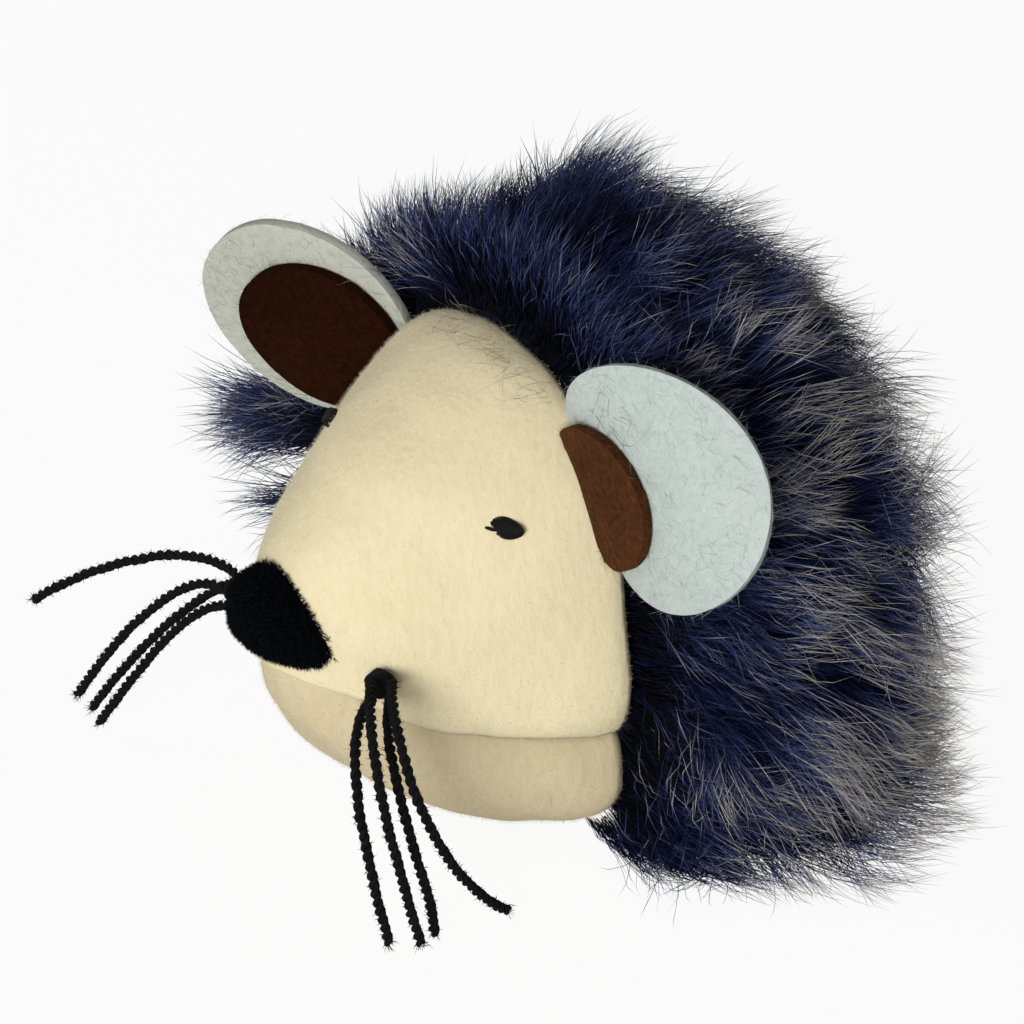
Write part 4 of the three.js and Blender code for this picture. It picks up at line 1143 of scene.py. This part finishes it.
def make_ear(side):
    facts = EARS[side]
    ear = Ear(*(facts[key] for key in ("sign", "lift", "root", "tip", "shift")))
    disc_felt, disc_fibre, patch_felt, patch_fibre = EAR_LOOKS[side]
    stand = (SEAM_GAP + FELT) / 2
    disc = felt_piece(
        f"felt_ear_{side}", ear, EAR_RADIUS, ear.chord, stand, facts["lower_rim"], 1.0,
        disc_felt, "pale_felt", f"ear_outer_{side}")
    spot = felt_piece(
        f"felt_ear_patch_{side}", ear, facts["patch"], EAR_PATCH_ROOT, stand + FELT + SEAM_GAP,
        facts["patch_lower_rim"], facts["patch_cut"], patch_felt, "brown_felt", f"ear_inner_{side}")
    felt_fibres(disc, f"ear_fibres_{side}", 1800, disc_fibre, "pale_felt")
    felt_fibres(spot, f"ear_patch_fibres_{side}", 1000, patch_fibre, "brown_felt")
    return ear


ears = {side: make_ear(side) for side in EARS}


# Fur: a knit backing set with long hairs that lie back in locks. Settings that change with height
# hold the heights and the values there.

BACKING_DEPTH = 8.0
BACKING_THICKNESS = 1.0
HEM = 2.0
HEM_SHARE = 0.06
HEM_TUCK = 0.13
HEM_DROP = 1.1
NECK_SHARE = 0.08
NECK_GAP = 0.4
NECK_RING = 0.86
NECK_ARC = (-78, 258)
NECK_STRIP = 0.35
LOWEST_ROOT = 1.5
TALLEST_HAIR = 77.2
FUR_BACK_LEAN = ([2, 8, 18], [-0.05, 0.05, 0.1])
FUR_SAG = ([1, 6, 14, 30, 48], [0.1, 0.4, 0.75, 0.4, 0.22])
FUR_STAND = ([4, 12, 25, 45], [0.85, 0.72, 0.76, 0.88])
FUR_SWEEP = ([4, 12, 25, 45], [0.3, 0.64, 0.62, 0.45])
LOW_LENGTH = ([1, 8, 16, 26], [0.3, 0.24, 0.08, 0.0])
GUARD_OFF_SKIN = 3.0
GUARD_FULLER = ([2, 5, 9, 14, 20, 27, 34, 42, 50], [1.2, 0.9, -1.2, -1.7, 0.1, 2.3, 2.3, 1.0, 0.9])
# Tip tone by height: paler low on the flanks, darker up on the crown, where the darkening is painted shade
# on the top of the fur.
GUARD_TONE_WITH_CROWN_SHADE = ([5, 15, 30, 58], [0.24, 0.16, 0.11, -0.16])
GUARD_LOCKS = 700
GUARD_PATCHES = 90

# The crown's hair is longer or shorter along the line that the camera sees from the side
CROWN_ACROSS = 1.28
CROWN_LENGTH = (
    [-24, -15.6, -8.6, -2.6, 3.4, 9.4, 14, 20, 27, 36, 50, 62],
    [0, -0.3, -0.38, -0.12, 0.32, 0.28, 0.0, -0.1, 0.02, 0.12, 0.08, 0.0])


def backing_place(u, v):
    tuck = NECK_TUCK * BACKING_DEPTH / FUR_PILE
    end = WIDEST_BEHIND_NECK + WIDTH_REACH[1] - BACKING_DEPTH
    behind = NECK_GAP + (end - NECK_GAP) * np.sin(fade(v, NECK_SHARE, 1) * np.pi / 2)
    width, rise = body_ring(behind, BACKING_DEPTH, tuck)
    lowest = math.asin(((BODY_LEVEL - HEM) / BODY_UNDER) ** (FLANK_ROUNDNESS / 2))
    around = np.clip((u - HEM_SHARE) / (1 - 2 * HEM_SHARE), 0, 1)
    angle = -lowest + around * (np.pi + 2 * lowest)
    x, z = oval(angle, width, BODY_LEVEL, rise, BODY_UNDER, BODY_ROUNDNESS, FLANK_ROUNDNESS)
    hem = fade(np.minimum(u, 1 - u), HEM_SHARE, 0)
    skin = np.stack([x * (1 - HEM_TUCK * hem), NECK_Y + behind, np.maximum(z, HEM) - HEM_DROP * hem], -1)
    neck_angle = NECK_ARC[0] + (NECK_ARC[1] - NECK_ARC[0]) * u
    neck = head_points(np.zeros_like(u), np.radians(neck_angle))
    neck[:, 0] *= NECK_RING
    neck[:, 1] = NECK_Y + NECK_STRIP
    neck[:, 2] = np.maximum(HEAD_LEVEL + (neck[:, 2] - HEAD_LEVEL) * NECK_RING, HEM)
    share = fade(v, 0, NECK_SHARE)[:, None]
    points = neck * (1 - share) + skin * share
    front_corner = fade(points[:, 2], 6, 0) * fade(np.abs(points[:, 0]), 28, 23)
    points[:, 1] += 5 * front_corner * np.exp(-behind / 5)
    return points


def make_backing():
    backing = patch("fur_backing", columns=88, rows=64, place=backing_place)
    join_points(backing)
    face_away_from(backing, (0, 12, 25))
    smooth(backing)
    return backing


def outward_of(places):
    """Away from the middle line, and level near the floor."""
    return unit(np.stack([places[:, 0], np.zeros(len(places)), np.maximum(places[:, 2] - 24, -5)], -1))


def lie_of_fur(places, facing):
    """How the pile rises and which way it lies, at each root."""
    height = places[:, 2]
    near_neck = fade(behind_neck(places), 9, 0)[:, None]
    from_neck = outward_of(places) + np.interp(height, *FUR_BACK_LEAN)[:, None] * BACKWARD
    rise = unit(facing * (1 - near_neck) + from_neck * near_neck)
    sag = np.interp(height, *FUR_SAG)[:, None] * DOWNWARD
    lie = along_surface(BACKWARD * (1 - 0.4 * near_neck) + sag + 1e-6, rise)
    return rise, lie, np.interp(height, *FUR_STAND), np.interp(height, *FUR_SWEEP)


def hair_paths(places, rise, lie, length, stand, sweep, steps):
    """Hairs that stand up from their roots and sweep over to the side on which they lie."""
    run = np.linspace(0, 1, steps)[None, :, None]
    up = run * (1.3 - 0.3 * run) * stand[:, None, None]
    over = (0.15 * run + 0.85 * run ** 1.8) * sweep[:, None, None]
    return places[:, None] + length[:, None, None] * (rise[:, None] * up + lie[:, None] * over)


def length_share(places):
    """Longer hair low on the flanks, where it spreads on the floor, and as the crown needs it."""
    rear = fade(places[:, 1], 8, 22)
    low = np.interp(places[:, 2], *LOW_LENGTH) * (1 - 0.75 * rear)
    crown = np.interp(places[:, 0] + CROWN_ACROSS * places[:, 1], *CROWN_LENGTH)
    return 1 + low + fade(places[:, 2], 40, 48) * crown


def nearest(centres, places):
    tree = KDTree(len(centres))
    for i, centre in enumerate(centres):
        tree.insert(centre, i)
    tree.balance()
    return np.array([tree.find(p)[1] for p in places])


def curl(paths, arc, wave):
    """Bends each hair sideways into an arc, with a slight wave. Both are spreads."""
    count, steps, _ = paths.shape
    arc, wave = scatter(arc, count), scatter(wave, count)
    heading = unit(paths[:, -1] - paths[:, 0])
    side = along_surface(scatter(1, count, 3), heading)
    other = np.cross(heading, side)
    run = np.linspace(0, 1, steps)[None, :]
    bow = arc[:, None] * run ** 2
    waves = wave[:, None] * np.sin(5.5 * run + 6.3 * rng.random((count, 1))) * run
    return paths + bow[:, :, None] * side[:, None] + waves[:, :, None] * other[:, None]


def set_hair(places, facing, length, locks, gather, arc, steps, wild, flat):
    """Hairs that grow from the given roots, gathered into locks that each lean their own way."""
    count = len(places)
    length = length * length_share(places)
    rise, lie, stand, sweep = lie_of_fur(places, facing)
    laid = flat * fade(behind_neck(places), 6, 18) * fade(places[:, 2], 10, 22)
    stand = stand * (1 - 0.5 * laid)
    sweep = sweep * (1 + 0.6 * laid)
    chosen = rng.choice(count, locks, replace=False)
    lock = nearest(places[chosen], places)
    lean = scatter(wild, locks, 3)
    near_neck = fade(behind_neck(places[chosen]), 10, 0)
    lean[:, 1] = np.where(lean[:, 1] < 0, lean[:, 1] * (1 - near_neck), lean[:, 1])
    reach = np.clip(1 + scatter(0.13, locks), 0.7, 1.3)
    rise_here = unit(rise + 0.8 * lean[lock] + scatter(0.12, count, 3))
    lie_here = along_surface(lie + lean[lock] + scatter(0.2, count, 3), rise_here)
    paths = hair_paths(places, rise_here, lie_here, length * reach[lock], stand, sweep, steps)
    guide_rise = unit(rise[chosen] + 0.8 * lean)
    guide_lie = along_surface(lie[chosen] + lean, guide_rise)
    guides = hair_paths(
        places[chosen], guide_rise, guide_lie, length[chosen] * reach, stand[chosen], sweep[chosen], steps)
    guides = curl(guides, arc=2.9, wave=0.6)
    to_guide = (np.linspace(0, 1, steps) ** 1.5)[None, :, None]
    pull = to_guide * (gather * rng.random(count) ** 0.7)[:, None, None]
    return curl(paths * (1 - pull) + guides[lock] * pull, arc, wave=0.5), lock


def loose_hair(places, heading, lie, length, stand, sweep, steps, arc, wave):
    """Hairs that each grow their own way and curl."""
    paths = hair_paths(places, heading, lie, length, np.full(len(places), stand), sweep, steps)
    return curl(paths, arc, wave)


def clear_of_ears(paths, share):
    for ear in ears.values():
        loose = rng.random(len(paths)) < share
        moved = ear.push_behind(paths.reshape(-1, 3)).reshape(paths.shape)
        paths[loose] = moved[loose]
    return paths


def keep_low(paths):
    """Shortens the few hairs on the crown that would stand out above the rest."""
    roots = paths[:, :1]
    height = np.max(paths[:, :, 2] - roots[:, :, 2], axis=1)
    share = np.minimum(1, (TALLEST_HAIR - roots[:, 0, 2]) / np.maximum(height, 0.1))
    return roots + (paths - roots) * share[:, None, None]


def lay_fur(name, paths, radius, tone, material, pieces=1):
    """Splits the hairs into pieces from the right flank over the back to the left flank."""
    paths = keep_above(keep_low(paths), FUR_ABOVE_FLOOR)
    beside_chin = fade(paths[:, :, 2], 14, 8) * fade(np.abs(paths[:, :, 0]), 30, 24)
    ahead = np.minimum(paths[:, :, 1] - NECK_Y - 0.5, 0)
    paths[:, :, 1] -= between(0.45, 0.95, len(paths), 1) * ahead * beside_chin
    taper = np.linspace(1.0, 0.6, paths.shape[1] - 1)
    order = np.argsort(paths[:, 0, 0])
    for number, lot in enumerate(np.array_split(order, pieces)):
        label = f"{name}_{number + 1}" if pieces > 1 else name
        piece = strands(label, paths[lot], radius[lot], taper, tone[lot])
        finish_piece(piece, material, "navy_fur")


def hair_roots(backing, count):
    return sample(backing, count, lambda points, normals: points[:, 2] > LOWEST_ROOT)


def make_underfur(backing, count=20000):
    places, facing = hair_roots(backing, count)
    length = np.clip(9.0 + scatter(1.1, count), 6, 12)
    paths, _ = set_hair(
        places, facing, length, locks=1500, gather=0.5, arc=0.7, steps=4, wild=0.22, flat=0.4)
    paths = clear_of_ears(paths, share=1.0)
    tone = np.clip(0.5 + scatter(0.25, count), 0, 1)
    lay_fur("underfur", paths, between(0.1, 0.13, count), tone, UNDER_HAIR, pieces=4)


def guard_tone(places, lock):
    """Pale tips low down and behind, dark ones by the neck, darker ones on the crown as painted shade, in
    uneven patches.
    """
    count = len(places)
    patches = nearest(places[rng.choice(count, GUARD_PATCHES, replace=False)], places)
    patch_tone = scatter(0.06, GUARD_PATCHES)
    lock_tone = scatter(0.1, GUARD_LOCKS)
    behind = behind_neck(places)
    # The height term darkens the crown's tips as painted shade.
    by_place = 0.58 * (fade(behind, 0, 13) - 0.89) + np.interp(places[:, 2], *GUARD_TONE_WITH_CROWN_SHADE)
    by_place += 0.32 * fade(behind, 20, 34)
    return np.clip(0.42 + by_place + patch_tone[patches] + lock_tone[lock] + scatter(0.2, count), 0, 1)


def make_guard_hair(backing, count=28000):
    places, facing = hair_roots(backing, count)
    fuller = fade(places[:, 1], 8, 22) * np.interp(places[:, 2], *GUARD_FULLER)
    off_skin = (GUARD_OFF_SKIN + fuller) * fade(behind_neck(places), 4, 12)
    places = places + facing * off_skin[:, None]
    length = np.clip(11.6 + scatter(1.6, count), 7, 14.5)
    paths, lock = set_hair(
        places, facing, length, locks=GUARD_LOCKS, gather=0.75, arc=2.1, steps=6, wild=0.28, flat=1.0)
    paths = clear_of_ears(paths, share=0.99)
    tone = guard_tone(places, lock)
    lay_fur("guard_hair", paths, between(0.036, 0.058, count), tone, FUR_HAIR, pieces=4)


def make_collar(count=7000):
    """Dark hairs that rise from the neck seam and close round the face and the roots of the ears."""
    ring = head_points(np.zeros(count), np.radians(between(-50, 230, count)))
    middle = np.array((0, 0, HEAD_LEVEL))
    places = middle + (ring - middle) * between(1, 1.14, count, 1)
    places[:, 1] = NECK_Y + between(0.6, 2.1, count)
    keep_above(places, 0.8)
    crown = fade(places[:, 2], 40, 52)
    far = fade(places[:, 0], 0, -14)
    forward = 0.3 * crown + 0.22 * far - 0.42 * (1 - crown) * (1 - far)
    sink = -0.1 * (places[:, 2] < 20)
    lean = np.stack([np.zeros(count), scatter(0.16, count) - forward, sink], -1)
    heading = unit(outward_of(places) + lean + scatter(0.15, count, 3))
    lie = along_surface(np.array((0.0, 1.0, -0.25)), heading)
    length = np.clip(9.0 + scatter(2.0, count), 5, 14)
    paths = loose_hair(
        places, heading, lie, length, stand=0.85, sweep=np.full(count, 0.35), steps=5, arc=1.8, wave=0.5)
    paths = clear_of_ears(paths, share=0.85)
    tone = np.clip(0.07 + scatter(0.15, count), 0, 1)
    lay_fur("neck_fur", paths, between(0.055, 0.08, count), tone, FUR_HAIR)


def make_tuft(count=1700):
    """The tuft that stands out past the far cheek, below the far ear, in a large and a small lobe."""
    is_lower = rng.random(count) < 0.14
    level = np.where(is_lower, 22.6 + scatter(0.7, count), 33.6 + scatter(1.5, count))
    places = np.stack([-30 + scatter(1.8, count), -5.5 + scatter(1.2, count), level], -1)
    heading = unit(np.array((-0.82, -0.52, -0.13)) + scatter(0.1, count, 3))
    lie = along_surface(np.array((-0.2, 0.3, -0.2)) + scatter(0.4, count, 3), heading)
    length = np.clip(17.5 + scatter(3.6, count), 6, 23) * np.where(is_lower, 0.8, 1)
    paths = loose_hair(
        places, heading, lie, length, stand=0.85, sweep=between(0, 0.25, count), steps=6, arc=2.0, wave=0.5)
    tone = np.clip(0.22 + scatter(0.2, count), 0, 1)
    lay_fur("far_tuft", paths, between(0.05, 0.075, count), tone, FUR_HAIR)


def ear_wisps(count):
    """Curled wisps that rise from the far side of the crown in front of the far ear."""
    places = head_points(np.zeros(count), np.radians(between(98, 118, count)))
    places[:, 1] += between(0, 1.5, count)
    heading = unit(np.array((-0.75, 0.0, 0.65)) + scatter(0.2, count, 3))
    lie = along_surface(scatter(1, count, 3), heading)
    return loose_hair(
        places, heading, lie, length=between(7, 16, count), stand=0.8, sweep=between(0, 0.5, count),
        steps=8, arc=1.8, wave=0.7)


def tuft_wisps(count):
    """Pale curls above the tuft, beside the lower rim of the far ear."""
    places = np.array((-31.0, -7.0, 34.0)) + scatter(1, count, 3) * np.array((1.6, 1.2, 1.4))
    heading = unit(np.array((-0.8, -0.45, 0.25)) + scatter(0.3, count, 3))
    lie = along_surface(scatter(1, count, 3) + np.array((0, 0, 0.6)), heading)
    return loose_hair(
        places, heading, lie, length=between(7, 13, count), stand=0.8, sweep=between(0, 0.7, count),
        steps=8, arc=3.0, wave=0.8)


def crown_strays(count):
    """Loose hairs that lie curled on the crown."""
    places = head_points(between(0.01, 0.15, count), np.radians(between(55, 97, count)))
    across = scatter(0.4, count)
    ahead = between(-0.5, -0.9, count)
    heading = unit(np.stack([across, ahead, scatter(0.35, count) - 0.1], -1))
    facing = unit(places - np.array((0, -14, 24)))
    heading = along_surface(heading, facing) + 0.22 * facing
    lie = along_surface(scatter(1, count, 3), facing)
    return loose_hair(
        places, heading, lie, length=between(3, 6, count), stand=0.8, sweep=between(0, 0.9, count),
        steps=8, arc=2.4, wave=0.9)


def ear_strays(count):
    """Thin hairs that lie across the near ear."""
    ear = ears["left"]
    places = ear.points(between(2, 9, count), between(5, 12, count), np.full(count, 1.6))
    heading = unit(ear.along * scatter(1, count, 1) + ear.outward * between(0.4, 1.4, count, 1))
    lie = along_surface(scatter(1, count, 3), heading)
    return loose_hair(
        places, heading, lie, length=between(4, 8, count), stand=0.8, sweep=between(0, 0.5, count),
        steps=8, arc=1.6, wave=0.5)


def make_strays():
    strays = np.concatenate([crown_strays(80), ear_strays(12)])
    tone = between(0.2, 0.8, len(strays))
    lay_fur("stray_hairs", strays, between(0.015, 0.023, len(strays)), tone, STRAY_HAIR)
    wisps = np.concatenate([ear_wisps(420), tuft_wisps(220)])
    tone = between(0.35, 1.0, len(wisps))
    lay_fur("fur_wisps", wisps, between(0.022, 0.036, len(wisps)), tone, FUR_HAIR)


def make_fur():
    backing = make_backing()
    make_underfur(backing)
    make_guard_hair(backing)
    make_collar()
    make_tuft()
    make_strays()
    thicken(backing, BACKING_THICKNESS)
    finish_piece(backing, FUR_SKIN, "navy_fur", "fur_cover")


make_fur()


# Belly cloth and stuffing

BELLY_LENGTH = 36.0
BELLY_HEIGHT = 0.72
BELLY_THICKNESS = 1.4
FIBRE_VOXEL = 0.9
FILLING_NARROWER = 0.95
FILLING_SHORTER = 0.95
FILLING_LOWER = 0.97


def belly_place(u, v):
    behind = SEAM_GAP + BELLY_LENGTH * v
    width, _ = body_ring(behind, FUR_PILE + SEAM_GAP, NECK_TUCK)
    low = swell((BODY_LEVEL - 0.8) / BODY_UNDER, FLANK_ROUNDNESS, 1 / FLANK_ROUNDNESS)
    x = (2 * u - 1) * width * low * (1 - 0.6 * np.exp(-behind / 4))
    edge = np.maximum(np.abs(2 * u - 1), np.abs(2 * v - 1)) ** 8
    z = BELLY_HEIGHT + 0.5 * edge + 0.05 * np.sin(x * 2.1) * np.sin(behind * 1.7)
    return np.stack([x, NECK_Y + behind, z], -1)


def make_belly():
    belly = patch("belly_cloth", columns=48, rows=40, place=belly_place)
    face_away_from(belly, (0, 10, 20))
    thicken(belly, BELLY_THICKNESS, 0)
    smooth(belly)
    finish_piece(belly, BELLY_CLOTH, "belly_cloth", "belly_panel")


def draw_in_filling(filling):
    """Draws the head's filling in under the panels, most on the far cheek and along the jaw seam."""
    points = vertex_array(filling) / MM
    by_seam = bell(points[:, 2], sewn_seam(head_share(points)), 5)
    cheek = np.where(points[:, 0] < 0, far_cheek(points[:, 2]), 1)
    points[:, 0] *= cheek * (FILLING_NARROWER - 0.06 * by_seam)
    points[:, 1] = NECK_Y + behind_neck(points) * FILLING_SHORTER
    points[:, 2] = HEAD_LEVEL + (points[:, 2] - HEAD_LEVEL) * FILLING_LOWER
    place_vertices(filling, points * MM)


def make_filling():
    for node, name in (("head_stuffing", "head_filling"), ("body_stuffing", "body_filling")):
        filling = link_piece(name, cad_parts[node].data.copy())
        filling.data.name = name
        join_points(filling, 0.01)
        apply_modifier(filling, "REMESH", "even fibre", mode="VOXEL", voxel_size=FIBRE_VOXEL * MM)
        if node == "head_stuffing":
            draw_in_filling(filling)
        smooth(filling)
        finish_piece(filling, FILLING, "filling", node)


make_belly()
make_filling()


# Works: the solids keep their shape and get their finish

WORKS = {
    CASE_PLASTIC: ["housing_base", "housing_cover"],
    GEAR_PLASTIC: ["cord_drum", "idler_gear", "rotor_pinion"],
    STEEL: ["eccentric_weight", "mainspring", "drum_axle", "idler_axle", "rotor_axle"]
    + [f"housing_screw_{n}" for n in (1, 2, 3, 4)],
    BRASS: ["cord_eyelet"],
}
for material, names in WORKS.items():
    for name in names:
        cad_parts[name].data.materials.clear()
        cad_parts[name].data.materials.append(material)


# Floor and light, in metres

FLOOR_SIZE = 6
FLOOR_GREY = (0.9, 0.9, 0.9, 1)
FLOOR_GLOW = 0.93
SKY_STRENGTH = 0.21
LAMP_TARGET = (0, 0, 0.03)
LAMP_SIZE = 0.5
LAMPS = (((0.48, -0.72, 0.15), 9.5), ((-0.5, -0.5, 0.6), 1.1))


def make_stage():
    """A pale floor that takes shadows and looks nearly white to the camera."""
    start_fresh()
    bpy.ops.mesh.primitive_plane_add(size=FLOOR_SIZE)
    floor = bpy.context.object
    floor.name = "floor"
    material, tree, shader = new_material("pale floor", roughness=0.9, specular=0.1)
    shader.inputs["Base Color"].default_value = FLOOR_GREY
    glow = add_node(tree, "ShaderNodeEmission", {"Strength": 1})
    path = tree.nodes.new("ShaderNodeLightPath")
    seen = add_math(tree, "MULTIPLY", path.outputs["Is Camera Ray"], FLOOR_GLOW)
    mix = add_node(
        tree, "ShaderNodeMixShader",
        {"Fac": seen.outputs["Value"], 1: shader.outputs["BSDF"], 2: glow.outputs["Emission"]})
    tree.links.new(mix.outputs["Shader"], tree.nodes["Material Output"].inputs["Surface"])
    floor.data.materials.append(material)


def soft_light(place, power):
    start_fresh()
    bpy.ops.object.light_add(type="AREA", location=place)
    lamp = bpy.context.object
    lamp.data.shape = "DISK"
    lamp.data.size = LAMP_SIZE
    lamp.data.energy = power
    aim = Vector(LAMP_TARGET) - Vector(place)
    lamp.rotation_euler = aim.to_track_quat("-Z", "Y").to_euler()


def make_light():
    """A dim sky that the camera and mirrors see as white, and two soft lamps."""
    world = bpy.data.worlds.new("studio")
    bpy.context.scene.world = world
    world.use_nodes = True
    tree = world.node_tree
    sky = tree.nodes["Background"]
    sky.inputs["Color"].default_value = WHITE
    sky.inputs["Strength"].default_value = SKY_STRENGTH
    seen = add_node(tree, "ShaderNodeBackground", {"Color": WHITE, "Strength": 1})
    rays = tree.nodes.new("ShaderNodeLightPath").outputs
    either = add_math(tree, "MAXIMUM", rays["Is Camera Ray"], rays["Is Glossy Ray"])
    any_ray = add_math(tree, "MAXIMUM", either.outputs["Value"], rays["Is Transmission Ray"])
    mix = add_node(
        tree, "ShaderNodeMixShader",
        {"Fac": any_ray.outputs["Value"], 1: sky.outputs["Background"], 2: seen.outputs["Background"]})
    tree.links.new(mix.outputs["Shader"], tree.nodes["World Output"].inputs["Surface"])
    for place, power in LAMPS:
        soft_light(place, power)


make_stage()
make_light()
bpy.context.scene.view_settings.view_transform = "Standard"
